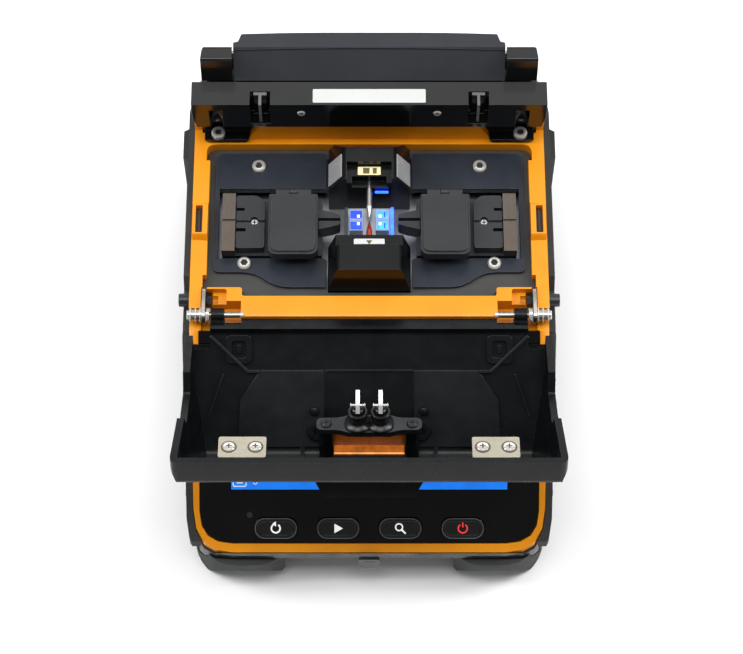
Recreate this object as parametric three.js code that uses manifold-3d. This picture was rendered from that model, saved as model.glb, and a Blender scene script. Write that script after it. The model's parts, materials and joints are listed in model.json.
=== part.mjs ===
// Fiber fusion splicer: a sloped-front bench instrument with a hinged wind cover over the
// splicing deck, a heat-shrink oven along its back and a battery that slides out of the rear.
// Millimetres. +X is right, +Y is away from the user and +Z is up. The ground is Z = 0 and the
// centre of the footprint is the origin. Inside the model, Y is counted from the cover's hinge.
import * as THREE from 'three';
import { mergeVertices } from 'three/addons/utils/BufferGeometryUtils.js';
import Module from 'manifold-3d';

const wasm = await Module();
wasm.setup();

// ---------------------------------------------------------------- driving dimensions
const GAP = 0.3; // clearance between neighbouring pieces
const FRONT_END = -84; // front of the bumpers
const REAR_END = 108; // back of the side guards
const HINGE_HEIGHT = 78;
const COVER_OPEN_DEGREES = 161;

const HOUSING = {
  frontHalf: 69.8, half: 71.3, front: -80.2, back: 104, bottom: 24.3, top: 78.5,
  wall: 3, hip: 91, rearWall: 80, frontRadius: 15, rearRadius: 12,
};
const PANEL = {
  tilt: 32, topY: -4, topZ: 74, half: 67.4, upper: -1, lower: -86.1, radius: 13,
  surface: -0.4, thickness: 2, ledge: 1.4,
};
const SCREEN = { half: 55.35, upper: -2.5, lower: -64.8 };
const BUTTON = { length: 17, width: 8.5, centre: -80.2, columns: [-37.3, -12.4, 12.4, 37.3] };
const OPENING = { half: 66.3, front: 8.2, cornerFront: 12, cornerHalf: 50.5, back: 77.5 };
const DECK = { bottom: 72, top: 74, plate: 1.2 };
const SCREW_SPOTS = [[-50, 24], [50, 24], [-45, 68.6], [45, 68.6]];
const WELL = { outer: 60.8, front: 26.5, back: 58.5 };
const FIBER = { y: 40.4, z: 82 };
const CHASSIS = { bottom: 60, top: 66 };
const LID = { inner: 20.6, outer: 40.2, front: 23.4, back: 50.6, bottom: 80.9, top: 86.2 };
const LID_PIVOT = { y: 52.6, z: 83, radius: 1.6 };
const HEATER = { front: 78.1, strip: 88.9, back: 104.8, bottom: 91.3, top: 108.4, half: 71 };
const HEATER_PIVOT = { y: 102.2, z: 108.4, radius: 1.9, pin: 1 };
const BATTERY = { half: 36, front: 44, back: 103.7, bottom: 27.6, top: 46 };
const PIVOT_PIN = { inner: 50.9, outer: 71.3, radius: 1.2 };
const HINGE_BOLT = { y: 8, z: 75, radius: 1.5 };
const PRESSER_X = 4.4;
const JACK_X = -18.5;
const USB_X = -38;
const VENT = { count: 7, first: 19, pitch: 4, width: 2, bottom: 58, top: 78 };

const FINISH = {
  orangePlastic: { color: 0xf7a31c, roughness: 0.42, metalness: 0 },
  blackPlastic: { color: 0x252729, roughness: 0.5, metalness: 0 },
  greyPlastic: { color: 0x3c3e41, roughness: 0.55, metalness: 0 },
  platePaint: { color: 0x363a42, roughness: 0.48, metalness: 0.1 },
  rubber: { color: 0x3a3b3a, roughness: 0.85, metalness: 0 },
  glossBlack: { color: 0x050607, roughness: 0.08, metalness: 0 },
  screen: { color: 0x0b6fe0, roughness: 0.1, metalness: 0 },
  steel: { color: 0xb9b7b0, roughness: 0.3, metalness: 1 },
  darkSteel: { color: 0x3f4042, roughness: 0.4, metalness: 0.8 },
  aluminium: { color: 0x9a9ca0, roughness: 0.4, metalness: 1 },
  ceramic: { color: 0xeef0f2, roughness: 0.25, metalness: 0 },
  amber: { color: 0xd96f14, roughness: 0.15, metalness: 0 },
  circuitGreen: { color: 0x1d6b3c, roughness: 0.5, metalness: 0 },
};

// ---------------------------------------------------------------- solids
const X = new THREE.Vector3(1, 0, 0);
const Y = new THREE.Vector3(0, 1, 0);
const Z = new THREE.Vector3(0, 0, 1);
const ACROSS_X = new THREE.Matrix4().makeBasis(Y, Z, X);
const ACROSS_Y = new THREE.Matrix4().makeBasis(X, Z, Y.clone().negate());

// Joins a geometry's shared vertices and hands it over as a closed solid.
function solid(geometry) {
  geometry.deleteAttribute('normal');
  geometry.deleteAttribute('uv');
  const merged = mergeVertices(geometry, 1e-4);
  const vertProperties = new Float32Array(merged.attributes.position.array);
  const triVerts = new Uint32Array(merged.index.array);
  return new wasm.Manifold(new wasm.Mesh({ numProp: 3, vertProperties, triVerts }));
}

function geometryOf(body) {
  const { vertProperties, triVerts } = body.getMesh();
  const geometry = new THREE.BufferGeometry();
  geometry.setAttribute('position', new THREE.BufferAttribute(vertProperties, 3));
  geometry.setIndex(new THREE.BufferAttribute(triVerts, 1));
  geometry.computeVertexNormals();
  return geometry;
}

function moved(body, matrix) {
  return solid(geometryOf(body).applyMatrix4(matrix));
}

// The same solid on the other side of the plane X = 0.
function mirrored(body) {
  const { vertProperties, triVerts } = body.getMesh();
  const flipped = vertProperties.map((value, i) => (i % 3 === 0 ? -value : value));
  const turned = triVerts.map((_, i) => triVerts[i - (i % 3) + 2 - (i % 3)]);
  return new wasm.Manifold(
    new wasm.Mesh({ numProp: 3, vertProperties: flipped, triVerts: turned }),
  );
}

function bothSides(body) {
  return body.add(mirrored(body));
}

function join(...bodies) {
  return bodies.reduce((whole, body) => whole.add(body));
}

function cut(body, ...tools) {
  return tools.reduce((rest, tool) => rest.subtract(tool), body);
}

// A closed outline through corners [u, v, radius], the radius rounding that corner.
function outline(corners) {
  const shape = new THREE.Shape();
  corners.forEach(([u, v, radius = 0], i) => {
    const corner = new THREE.Vector2(u, v);
    const reach = ([a, b]) => new THREE.Vector2(a, b).sub(corner).setLength(radius).add(corner);
    const entry = radius ? reach(corners.at(i - 1)) : corner;
    if (i === 0) shape.moveTo(entry.x, entry.y);
    else shape.lineTo(entry.x, entry.y);
    if (!radius) return;
    const exit = reach(corners[(i + 1) % corners.length]);
    shape.quadraticCurveTo(u, v, exit.x, exit.y);
  });
  shape.closePath();
  return shape;
}

function extruded(shape, from, to, curveSegments = 4) {
  const settings = { depth: to - from, bevelEnabled: false, curveSegments };
  return new THREE.ExtrudeGeometry(shape, settings).translate(0, 0, from);
}

// Prisms along X, Y and Z: the outline's (u, v) are (Y, Z), (X, Z) and (X, Y).
function prismX(corners, from, to) {
  return solid(extruded(outline(corners), from, to).applyMatrix4(ACROSS_X));
}

function prismY(corners, from, to) {
  return solid(extruded(outline(corners), -to, -from).applyMatrix4(ACROSS_Y));
}

function prismZ(corners, from, to) {
  return solid(extruded(outline(corners), from, to));
}

function box(x0, x1, y0, y1, z0, z1) {
  const geometry = new THREE.BoxGeometry(x1 - x0, y1 - y0, z1 - z0);
  return solid(geometry.translate((x0 + x1) / 2, (y0 + y1) / 2, (z0 + z1) / 2));
}

// A round bar along an axis; its far end may have another radius.
function rod(axis, from, to, [a, b], radius, farRadius = radius, segments = 16) {
  const geometry = new THREE.CylinderGeometry(farRadius, radius, to - from, segments);
  const middle = (from + to) / 2;
  if (axis === 'x') return solid(geometry.rotateZ(-Math.PI / 2).translate(middle, a, b));
  if (axis === 'y') return solid(geometry.translate(a, middle, b));
  return solid(geometry.rotateX(Math.PI / 2).translate(a, b, middle));
}

function rectangle(half, front, back, radius = 0) {
  return [
    [-half, front, radius], [half, front, radius], [half, back, radius], [-half, back, radius],
  ];
}

// A rectangle about (x, y) with ends that are almost half-round.
function pill(x, y, length, width) {
  const radius = width * 0.464;
  return rectangle(length / 2, -width / 2, width / 2, radius)
    .map(([u, v, r]) => [x + u, y + v, r]);
}

// ---------------------------------------------------------------- scene graph
const splicer = new THREE.Group();
splicer.position.y = -(FRONT_END + REAR_END) / 2;

const panelFrame = new THREE.Group();
panelFrame.position.set(0, PANEL.topY, PANEL.topZ);
panelFrame.rotation.x = THREE.MathUtils.degToRad(PANEL.tilt);

const coverFrame = new THREE.Group();
coverFrame.position.z = HINGE_HEIGHT;
coverFrame.rotation.x = THREE.MathUtils.degToRad(COVER_OPEN_DEGREES);

splicer.add(panelFrame, coverFrame);
panelFrame.updateMatrix();

function place(name, body, finish, group = splicer) {
  const mesh = new THREE.Mesh(geometryOf(body), new THREE.MeshStandardMaterial(FINISH[finish]));
  mesh.name = name;
  group.add(mesh);
}

function placePair(name, rightBody, finish, group = splicer) {
  place(`${name}_right`, rightBody, finish, group);
  place(`${name}_left`, mirrored(rightBody), finish, group);
}

// ---------------------------------------------------------------- lower body
// The outside of the case seen from above; grow widens it all round.
function caseOutline(grow) {
  const { frontHalf, half, front, back, frontRadius, rearRadius } = HOUSING;
  return [
    [-frontHalf - grow, front - grow, frontRadius], [frontHalf + grow, front - grow, frontRadius],
    [half + grow, 0], [half + grow, back + grow, rearRadius],
    [-half - grow, back + grow, rearRadius], [-half - grow, 0],
  ];
}

const TRAY = { bottom: 4, floor: 2.5, rim: 24, lip: 25.8, frontGrow: 1.3, toe: -70, knee: 23 };

function trayBlock(grow) {
  const front = HOUSING.front - TRAY.frontGrow - grow;
  const profile = prismX([
    [TRAY.toe - grow, TRAY.bottom - grow], [front, TRAY.knee - grow], [front, TRAY.lip],
    [HOUSING.front - GAP, TRAY.lip + 0.2], [HOUSING.front - GAP, TRAY.rim],
    [HOUSING.back, TRAY.rim], [HOUSING.back, TRAY.bottom - grow],
  ], -HOUSING.half, HOUSING.half);
  const plan = caseOutline(grow);
  plan[0][1] = front;
  plan[1][1] = front;
  return profile.intersect(prismZ(plan, 0, HOUSING.top));
}

function baseTray() {
  const inside = HOUSING.frontHalf - HOUSING.wall;
  const hollow = prismX([
    [TRAY.toe + 2, TRAY.bottom + TRAY.floor], [HOUSING.front + 3.4, TRAY.knee + 1],
    [HOUSING.front + 3.4, HOUSING.top], [HOUSING.back - HOUSING.wall, HOUSING.top],
    [HOUSING.back - HOUSING.wall, TRAY.bottom + TRAY.floor],
  ], -inside, inside);
  const softened = prismZ(rectangle(inside, HOUSING.front + 3.4, HOUSING.back - 3, 10), 0, 90);
  return cut(trayBlock(0), hollow.intersect(softened));
}

function frontBumper() {
  const block = prismZ([
    [34, -79.5], [42, FRONT_END, 3], [61, FRONT_END, 8], [70.8, -72, 6], [72, -60], [60, -58],
    [36, -58],
  ], 0, 22);
  const lean = prismX([[-78, 0, 2], [FRONT_END, 15, 4], [FRONT_END, 22], [-58, 22], [-58, 0]], 30, 76);
  const taper = prismY([[39, 0], [76, 0], [76, 22], [34, 22], [34, 8]], FRONT_END - 1, -50);
  const trayRoom = trayBlock(GAP);
  return cut(block.intersect(lean).intersect(taper), trayRoom, box(30, 80, -90, -50, 21.5, 30));
}

const GUARD = { inner: 0.3, outer: 2.9, bump: 5.7, bottom: 8, top: 74.4, front: -76, step: 22 };

function sideGuard() {
  const ring = cut(
    prismZ(caseOutline(GUARD.outer), GUARD.bottom, GUARD.top),
    prismZ(caseOutline(GUARD.inner), 0, 90),
  );
  const bump = prismZ([
    [HOUSING.half + 1, 76], [HOUSING.half + GUARD.bump, 78.5], [HOUSING.half + GUARD.bump, 91],
    [HOUSING.half + 1, 93.5],
  ], 30, 66);
  const rearPad = prismZ([
    [50, HOUSING.back + 1], [52, REAR_END], [64, REAR_END, 6], [74.6, 99, 4], [73, 92],
  ], 12, 70);
  const profile = prismX([
    [GUARD.front, GUARD.step], [GUARD.front, 27.2], [-6, 71], [-3, 69], [15, 69],
    [19, GUARD.top], [REAR_END, GUARD.top], [REAR_END, GUARD.bottom], [-57.5, GUARD.bottom],
    [-57.5, GUARD.step],
  ], 46, 80);
  const caseRoom = prismZ(caseOutline(GUARD.inner), 0, 90);
  return cut(join(ring, bump, rearPad).intersect(profile), caseRoom, trayBlock(GAP));
}

function rearFoot() {
  return rod('z', 0, TRAY.bottom - GAP, [52, 88], 8.5, 8, 20);
}

// ---------------------------------------------------------------- orange housing
function panelRecess(inset, depth) {
  const corners = rectangle(PANEL.half + GAP - inset, PANEL.lower - GAP + inset,
    PANEL.upper + GAP - inset, PANEL.radius);
  corners[2][2] = 1;
  corners[3][2] = 1;
  return moved(prismZ(corners, -depth, 10), panelFrame.matrix);
}

function deckOpening() {
  const { half, front, cornerFront, cornerHalf, back } = OPENING;
  return prismZ([
    [-half, cornerFront, 1], [-cornerHalf, cornerFront, 1], [-cornerHalf, front, 1],
    [cornerHalf, front, 1], [cornerHalf, cornerFront, 1], [half, cornerFront, 1],
    [half, back, 4], [-half, back, 4],
  ], DECK.bottom - 4, HOUSING.hip + 1);
}

// Room at one end of the front bar for the cover's barrel, pin and steel bracket.
function hingePocket() {
  return join(
    box(50.7, 66.6, -6, 6, 71, 90),
    box(64.4, 66.6, -6, 12.2, 72, 90),
    box(62.2, 66.6, 4.8, 11.3, 71.8, 90),
    box(66.4, 75, -6, 2.8, 73.5, 90),
    prismZ([[56.5, 5.8], [66, 5.8], [66, 11.3, 1], [56.5, 11.3, 1]], 75.2, 90),
  );
}

// The low block on the side frame that the fiber leaves over, with its slot.
function fiberExit() {
  const rise = prismX([
    [17.5, 74.5], [17.5, 78.5], [33, 78.5], [34.6, 81.6, 0.8], [48.4, 81.6, 0.8], [50, 78.5],
    [70, 78.5], [70, 74.5],
  ], 64.8, 66.5);
  const crown = prismX([
    [33, 78], [34.6, 81.6, 0.8], [48.4, 81.6, 0.8], [50, 78],
  ], 64.8, 70.8);
  return cut(join(rise, crown), box(66.9, 69.7, 35.2, 47.4, 76, 90));
}

function mainHousing() {
  const { front, back, bottom, top, wall, hip, rearWall, half } = HOUSING;
  const slope = Math.tan(THREE.MathUtils.degToRad(PANEL.tilt));
  const noseZ = PANEL.topZ - (PANEL.topY - front) * slope;
  const profile = prismX([
    [front, bottom], [front, noseZ], [PANEL.topY, PANEL.topZ], [-0.7, 75.6], [-0.7, 78.2],
    [0.2, top], [rearWall, top], [rearWall, hip], [back - 3, hip, 2], [back, hip - 4, 2],
    [back, bottom],
  ], -half, half);
  const shell = profile.intersect(prismZ(caseOutline(0), 0, 100));
  const hollow = prismX([
    [front + 3.4, bottom - 1], [front + 3.4, noseZ - 1.5], [-7, 69.5], [83, 69.5],
    [83, hip - wall], [back - wall, hip - wall], [back - wall, bottom - 1],
  ], -half + wall, half - wall);
  const softened = prismZ(caseOutline(-wall), 0, 100);
  const tabSeat = prismY([
    [42.6, hip + 1], [49.6, top - 0.1], [80, top - 0.1], [80, hip + 1],
  ], rearWall - 1, 84.6);
  const batteryMouth = box(-BATTERY.half - GAP, BATTERY.half + GAP, back - 10, back + 5,
    BATTERY.bottom - GAP, BATTERY.top + GAP);
  const jackHole = box(JACK_X - 4.8, JACK_X + 4.8, back - 10, back + 5, 59.7, 70.3);
  const usbHole = box(USB_X - 7.3, USB_X + 7.3, back - 10, back + 5, 61.7, 69.3);
  const vents = Array.from({ length: VENT.count }, (_, i) => {
    const from = VENT.first + i * VENT.pitch;
    return box(from, from + VENT.width, back - 10, back + 5, VENT.bottom, VENT.top);
  });
  const boltHole = rod('x', 60, 80, [HINGE_BOLT.y, HINGE_BOLT.z], HINGE_BOLT.radius + GAP);
  const carved = cut(
    shell, hollow.intersect(softened), panelRecess(0, PANEL.thickness + 0.7),
    panelRecess(PANEL.ledge, 30), deckOpening(), bothSides(hingePocket()), bothSides(tabSeat),
    batteryMouth, jackHole, usbHole, ...vents, bothSides(boltHole),
  );
  return join(carved, bothSides(fiberExit()));
}

// ---------------------------------------------------------------- control panel
function buttonPill(column, clearance, from, to) {
  const { length, width, centre } = BUTTON;
  return prismZ(pill(column, centre, length + clearance, width + clearance), from, to);
}

function frontPanel() {
  const corners = rectangle(PANEL.half, PANEL.lower, PANEL.upper, PANEL.radius);
  corners[2][2] = 1;
  corners[3][2] = 1;
  const plate = prismZ(corners, PANEL.surface - PANEL.thickness, PANEL.surface);
  const window = prismZ(rectangle(SCREEN.half, SCREEN.lower, SCREEN.upper), -10, 10);
  const holes = BUTTON.columns.map((column) => buttonPill(column, 0.6, -10, 10));
  return cut(plate, window, ...holes);
}

function lcdModule() {
  const { half, lower, upper } = SCREEN;
  const glass = box(-half + GAP, half - GAP, lower + GAP, upper - GAP, -4, PANEL.surface);
  const can = box(-half - 4, half + 4, lower - 3, upper - 2, -8.5, -4);
  return join(glass, can);
}

function button(column) {
  const cap = buttonPill(column, 0, -3.6, PANEL.surface + 0.7);
  const dish = buttonPill(column, -3, PANEL.surface + 0.4, 2);
  return cut(cap, dish);
}

function keypadBoard() {
  const board = box(-50, 50, -85.5, -74.5, -7, -5.6);
  const domes = BUTTON.columns.map((column) => (
    rod('z', -5.7, -4.9, [column, BUTTON.centre], 2.6, 2.2, 16)
  ));
  return join(board, ...domes);
}

// ---------------------------------------------------------------- deck and inner works
function deckPlate() {
  const outer = prismZ([
    [-66, 12.3, 1], [-50.2, 12.3, 1], [-50.2, 8.5, 1], [50.2, 8.5, 1], [50.2, 12.3, 1],
    [66, 12.3, 1], [66, 77.2, 4], [-66, 77.2, 4],
  ], DECK.bottom, DECK.top);
  const well = box(-WELL.outer, WELL.outer, WELL.front, WELL.back, 60, 90);
  const arcRoom = box(-17, 17, 11.8, 73.2, 60, 90);
  const screws = SCREW_SPOTS.map((spot) => rod('z', 60, 90, spot, 1.9, 1.9, 12));
  const exits = box(64.5, 71, 17.2, 70.3, 74.2, 90);
  return cut(outer, well, arcRoom, ...screws, bothSides(exits));
}

function coverPlate() {
  const bottom = DECK.top + GAP;
  const plate = prismZ([
    [17.6, 13.6], [38, 13.6, 6], [45, 20.3, 6], [62.3, 20.3, 2.5], [62.3, 75, 3], [17.6, 75],
  ], bottom, bottom + DECK.plate);
  const well = box(10, WELL.outer, WELL.front, WELL.back, 60, 90);
  const screws = SCREW_SPOTS.map((spot) => rod('z', 60, 90, spot, 3.1, 3.1, 16));
  return cut(plate, well, ...screws);
}

function deckScrew([x, y]) {
  const headTop = DECK.top + 3;
  const shank = rod('z', CHASSIS.top + GAP, DECK.top + 1, [x, y], 1.5, 1.5, 12);
  const head = rod('z', DECK.top + GAP, headTop, [x, y], 2.75, 2.6, 16);
  const socket = rod('z', headTop - 1.3, headTop + 1, [x, y], 1.3, 1.3, 6);
  return cut(join(shank, head), socket);
}

function spliceChassis() {
  const plate = box(-64, 64, 10, 75.5, CHASSIS.bottom, CHASSIS.top);
  const pedestal = box(-9.2, 9.2, 33, 48, CHASSIS.top - 1, 78);
  const lensHoles = [30.2, 50.6].map((y) => rod('z', 50, 90, [0, y], 1.5, 1.5, 16));
  return cut(join(plate, pedestal), ...lensHoles);
}

function stage() {
  const floor = CHASSIS.top + 0.4;
  const base = box(19, 59, 27.5, 53, floor, 76);
  const seat = box(LID.inner, LID.outer, 27.2, 50.8, 75, 80.4);
  const neck = prismZ([
    [11.6, 38.4, 1], [15, 37.2], [20.2, 36], [20.2, 45], [15, 43.8], [11.6, 42.6, 1],
  ], 75, 82.6);
  const anchor = prismZ([
    [42, 28.6, 1], [53.3, 28.6, 1], [53.3, 36], [49.5, 36], [49.5, 37.6], [53.3, 37.6],
    [53.3, 45.4], [50, 45.4], [50, 46.8], [53.3, 46.8], [53.3, 52.4, 1], [44.5, 52.4, 2],
    [42, 48, 1],
  ], 75, 80.6);
  const lug = join(
    box(28.8, 32, 51, LID_PIVOT.y + LID_PIVOT.radius, 75, LID_PIVOT.z),
    rod('x', 28.8, 32, [LID_PIVOT.y, LID_PIVOT.z], LID_PIVOT.radius),
  );
  const groove = box(5, 62, FIBER.y - 0.7, FIBER.y + 0.7, 79.4, 90);
  const screw = rod('z', 78, 90, [46.1, 41], 1.8, 1.8, 16);
  return join(cut(join(base, seat, neck, anchor), groove, screw), lug);
}

function fiberGuide() {
  const top = box(53.7, 59, 28, 53, 80.2, 81.4);
  const leg = box(53.7, 59, 26.9, 28.2, 76.4, 81.4);
  const foot = box(53.8, 59, 28, 53, 76.4, 77.2);
  const notch = box(50, 62, FIBER.y - 0.8, FIBER.y + 0.8, 80.6, 90);
  return cut(join(top, leg, foot), notch);
}

function sheathLid() {
  const { inner, outer, front, back, bottom, top } = LID;
  const slab = prismZ([
    [inner, front, 3.4], [outer, front, 3.4], [outer, back, 1], [inner, back, 1],
  ], bottom, top - 1);
  const crown = prismZ([
    [inner + 1, front + 1, 3], [outer - 1, front + 1, 3], [outer - 1, back - 0.6, 1],
    [inner + 1, back - 0.6, 1],
  ], top - 1.2, top);
  const knuckles = [[23.4, 28.5], [32.3, 37.4]].map(([from, to]) => join(
    rod('x', from, to, [LID_PIVOT.y, LID_PIVOT.z], LID_PIVOT.radius),
    box(from, to, back - 0.2, LID_PIVOT.y, LID_PIVOT.z - 1.5, LID_PIVOT.z + 1.5),
  ));
  return join(slab, crown, ...knuckles);
}

function arcBlockRear() {
  const section = prismY([
    [-16.5, CHASSIS.top + GAP], [16.5, CHASSIS.top + GAP], [16.5, 82, 1], [10.6, 91.8, 1.5],
    [-10.6, 91.8, 1.5], [-16.5, 82, 1],
  ], 54, 72.8);
  const shelf = box(-9, 9, 53, 61.8, 88.4, 95);
  const window = box(-7, 7, 53, 57, 84.5, 90);
  const slope = prismX([[66, 95], [72.8, 86], [75, 86], [75, 95]], -20, 20);
  const bore = rod('y', 50, 68, [0, FIBER.z + 1], 1.6, 1.6, 16);
  return cut(section, shelf, window, slope, bore);
}

function arcBlockFront() {
  const section = prismY([
    [-16.5, CHASSIS.top + GAP], [16.5, CHASSIS.top + GAP], [16.5, 76.5, 0.6], [13.4, 87, 1],
    [12.6, 89.5, 1], [-12.6, 89.5, 1], [-13.4, 87, 1], [-16.5, 76.5, 0.6],
  ], 12.2, 30.8);
  const nose = prismX([[10, 78], [12.2, 78], [14, 88.6, 1], [15.2, 95], [10, 95]], -20, 20);
  const shelf = box(-20, 20, 25.6, 32, 87.4, 95);
  const bore = rod('y', 18, 33, [0, FIBER.z + 1], 1.6, 1.6, 16);
  return cut(section, nose, shelf, bore);
}

function vGroove() {
  const block = box(2.6, 7.9, 35.7, 45.1, 78.3, FIBER.z);
  const groove = prismX([
    [FIBER.y - 0.5, FIBER.z + 1], [FIBER.y, FIBER.z - 0.5], [FIBER.y + 0.5, FIBER.z + 1],
  ], 0, 10);
  return cut(block, groove);
}

// A needle from its root to its tip at the fiber line.
function electrode(root, tip) {
  const height = FIBER.z + 1;
  const towardsTip = Math.sign(tip - root);
  const shoulder = tip - towardsTip * 4.5;
  const shank = rod('y', Math.min(root, shoulder), Math.max(root, shoulder), [0, height], 1.2);
  const point = towardsTip > 0
    ? rod('y', shoulder - 0.1, tip, [0, height], 1.2, 0.1)
    : rod('y', tip, shoulder + 0.1, [0, height], 0.1, 1.2);
  return join(shank, point);
}

function cameraModule() {
  const housing = box(-14, 14, 22, 58, 49, CHASSIS.bottom - GAP);
  const board = box(-18, 18, 18, 62, 47.2, 49.2);
  const lens = rod('z', 50, 61.5, [0, 30.2], 1.2, 1.2, 16);
  const secondLens = rod('z', 50, 61.5, [0, 50.6], 1.2, 1.2, 16);
  return join(housing, board, lens, secondLens);
}

function stageMotor() {
  const can = rod('x', 22, 44, [FIBER.y, 53.3], 6, 6, 20);
  const gearbox = box(43.9, 52, 34, 47, 47, 59.4);
  const spindle = rod('x', 51.5, 58, [FIBER.y, 53.3], 1.5, 1.5, 12);
  return join(can, gearbox, spindle);
}

function mainBoard() {
  const board = box(-62, 62, -58, 38, 10.5, 12.1);
  const processor = box(-12, 8, -30, -10, 12, 14.6);
  const screenSocket = box(-30, -6, -52, -47, 12, 16);
  const capacitors = [30, 39, 48].map((x) => rod('z', 12, 22, [x, 24], 3.6, 3.6, 16));
  return join(board, processor, screenSocket, ...capacitors);
}

function highVoltageModule() {
  const pot = box(40, 64, 50, 92, 28, 50);
  const core = box(45, 59, 54, 72, 49.8, 55);
  return join(pot, core);
}

function batteryPack() {
  const { half, front, back, bottom, top } = BATTERY;
  const pack = box(-half, half, front, back, bottom, top);
  const fingerScoop = prismX([
    [back - 5, 33], [back + 1, 31], [back + 1, 45], [back - 5, 43],
  ], -13, 13);
  const terminals = box(-20, 20, front - 1.5, front + 0.1, 35, 41);
  return join(cut(pack, fingerScoop), terminals);
}

function powerJack() {
  const shell = box(JACK_X - 4.5, JACK_X + 4.5, 90, 103.8, 60, 70);
  const mouth = rod('y', 94, 106, [JACK_X, 65], 3.1, 3.1, 16);
  const pin = rod('y', 93, 103, [JACK_X, 65], 1, 1, 12);
  return join(cut(shell, mouth), pin);
}

function usbPort() {
  const shell = box(USB_X - 7, USB_X + 7, 88, 103.8, 62, 69);
  const mouth = box(USB_X - 6.2, USB_X + 6.2, 91, 106, 62.8, 68.2);
  const tongue = box(USB_X - 5.2, USB_X + 5.2, 90, 102.5, 65.6, 67.1);
  return join(cut(shell, mouth), tongue);
}

// ---------------------------------------------------------------- heat-shrink oven
const TAB = { bottom: 78.8, ledge: 81, back: 84.2, screwX: 61.5, screwY: 80.6 };

function heaterHousing() {
  const { front, strip, back, bottom, top, half } = HEATER;
  const face = prismY([
    [-44, bottom], [44, bottom], [50, TAB.bottom, 1], [66.6, TAB.bottom, 2.5], [68, 84, 2],
    [half, 98, 3], [half, top], [-half, top], [-half, 98, 3], [-68, 84, 2],
    [-66.6, TAB.bottom, 2.5], [-50, TAB.bottom, 1],
  ], front, strip);
  const undercut = cut(
    box(-80, 80, front - 1, 82.6, TAB.ledge, bottom),
    box(-43, 43, front - 2, 83, TAB.ledge - 1, bottom + 1),
  );
  const behindTabs = box(-80, 80, TAB.back, strip + 1, 70, bottom);
  const rear = prismX([
    [strip - 0.1, bottom], [back, bottom], [back, 106], [101.2, 106], [101.2, 103],
    [strip - 0.1, 103],
  ], -67.4, 67.4).intersect(prismZ([
    [67.4, 80], [67.4, back, 9], [-67.4, back, 9], [-67.4, 80],
  ], bottom - 1, top));
  const lugs = [[47, 50], [61.3, 63.6]].map(([from, to]) => join(
    rod('x', from, to, [HEATER_PIVOT.y, HEATER_PIVOT.z], HEATER_PIVOT.radius),
    box(from, to, HEATER_PIVOT.y - 1.6, HEATER_PIVOT.y + 1.2, 105, HEATER_PIVOT.z),
  ));
  const pinHole = rod('x', -80, 80, [HEATER_PIVOT.y, HEATER_PIVOT.z], HEATER_PIVOT.pin + GAP);
  const clipSlot = cut(
    box(39.6, 47.6, front - 1, 84.4, 94, top + 1),
    box(42.9, 44.3, front + 1.2, 85, 90, top - 1),
    box(40.9, 46.3, 83, 85, 90, top - 1),
  );
  const screwGroove = rod('z', TAB.ledge - 0.5, 104, [TAB.screwX, TAB.screwY], 3.6, 3.6, 16);
  const screwHole = rod('z', 70, 90, [TAB.screwX, TAB.screwY], 1.4, 1.4, 12);
  const smallScrew = rod('y', front - 1, front + 1.2, [27.2, 102], 1.7, 1.7, 12);
  const sleeveWay = box(60, 80, 92.6, 98.4, 105.4, 120);
  return cut(
    join(face, rear, bothSides(join(...lugs))), undercut, behindTabs, pinHole,
    bothSides(join(clipSlot, screwGroove, screwHole, smallScrew)), bothSides(sleeveWay),
  );
}

function heaterTray() {
  const channel = box(-53.5, 53.5, 90, 100, 103.4, 108);
  const groove = box(-60, 60, 92.6, 98.4, 104.8, 120);
  return cut(channel, groove);
}

// The oven lid: an inclined front face, a ridge and a narrower band behind it.
function heaterLid() {
  const skin = prismX([
    [89.2, 108.8], [98.2, 119.9, 0.6], [105.8, 118.8, 1], [105.8, 115.3], [103.8, 115.3],
    [103.8, 116.7], [98.6, 117.4], [91.7, 108.8],
  ], -54.1, 54.1);
  const plan = new THREE.Shape();
  plan.moveTo(-54.1, 88);
  plan.lineTo(54.1, 88);
  plan.lineTo(54.1, 100.2);
  plan.lineTo(52.2, 100.8);
  plan.lineTo(51, 104.6);
  plan.quadraticCurveTo(0, 106.8, -51, 104.6);
  plan.lineTo(-52.2, 100.8);
  plan.lineTo(-54.1, 100.2);
  const trimmed = skin.intersect(solid(extruded(plan, 100, 125, 10)));
  const knuckle = join(
    rod('x', 38, 46.5, [HEATER_PIVOT.y, HEATER_PIVOT.z], HEATER_PIVOT.radius),
    box(38, 46.5, 101.9, 103.5, HEATER_PIVOT.z, 117),
  );
  const pinHole = rod('x', -60, 60, [HEATER_PIVOT.y, HEATER_PIVOT.z], HEATER_PIVOT.pin + GAP);
  return cut(join(trimmed, bothSides(knuckle)), pinHole);
}

function heaterClamp() {
  const body = prismX([
    [89.2, 108.8], [91.3, 119.8, 0.6], [92.2, 120.5, 0.3], [97.6, 121, 1.2], [100.2, 110.6],
    [99.4, 108.8],
  ], 54.5, 67);
  const plan = prismZ([[54.5, 88], [67, 88], [67, 101.5, 9], [54.5, 101.5]], 100, 125);
  const tunnel = box(50, 70, 93.4, 97.6, 108, 110.6);
  const knuckle = join(
    rod('x', 55.2, 60.9, [HEATER_PIVOT.y, HEATER_PIVOT.z], HEATER_PIVOT.radius),
    box(55.2, 60.9, 98.8, HEATER_PIVOT.y, HEATER_PIVOT.z + 0.3, HEATER_PIVOT.z + 1.8),
  );
  const pinHole = rod('x', 50, 70, [HEATER_PIVOT.y, HEATER_PIVOT.z], HEATER_PIVOT.pin + GAP);
  return cut(join(cut(body.intersect(plan), tunnel), knuckle), pinHole);
}

function heaterHingePin() {
  return rod('x', -63.9, 63.9, [HEATER_PIVOT.y, HEATER_PIVOT.z], HEATER_PIVOT.pin, undefined, 16);
}

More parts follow.
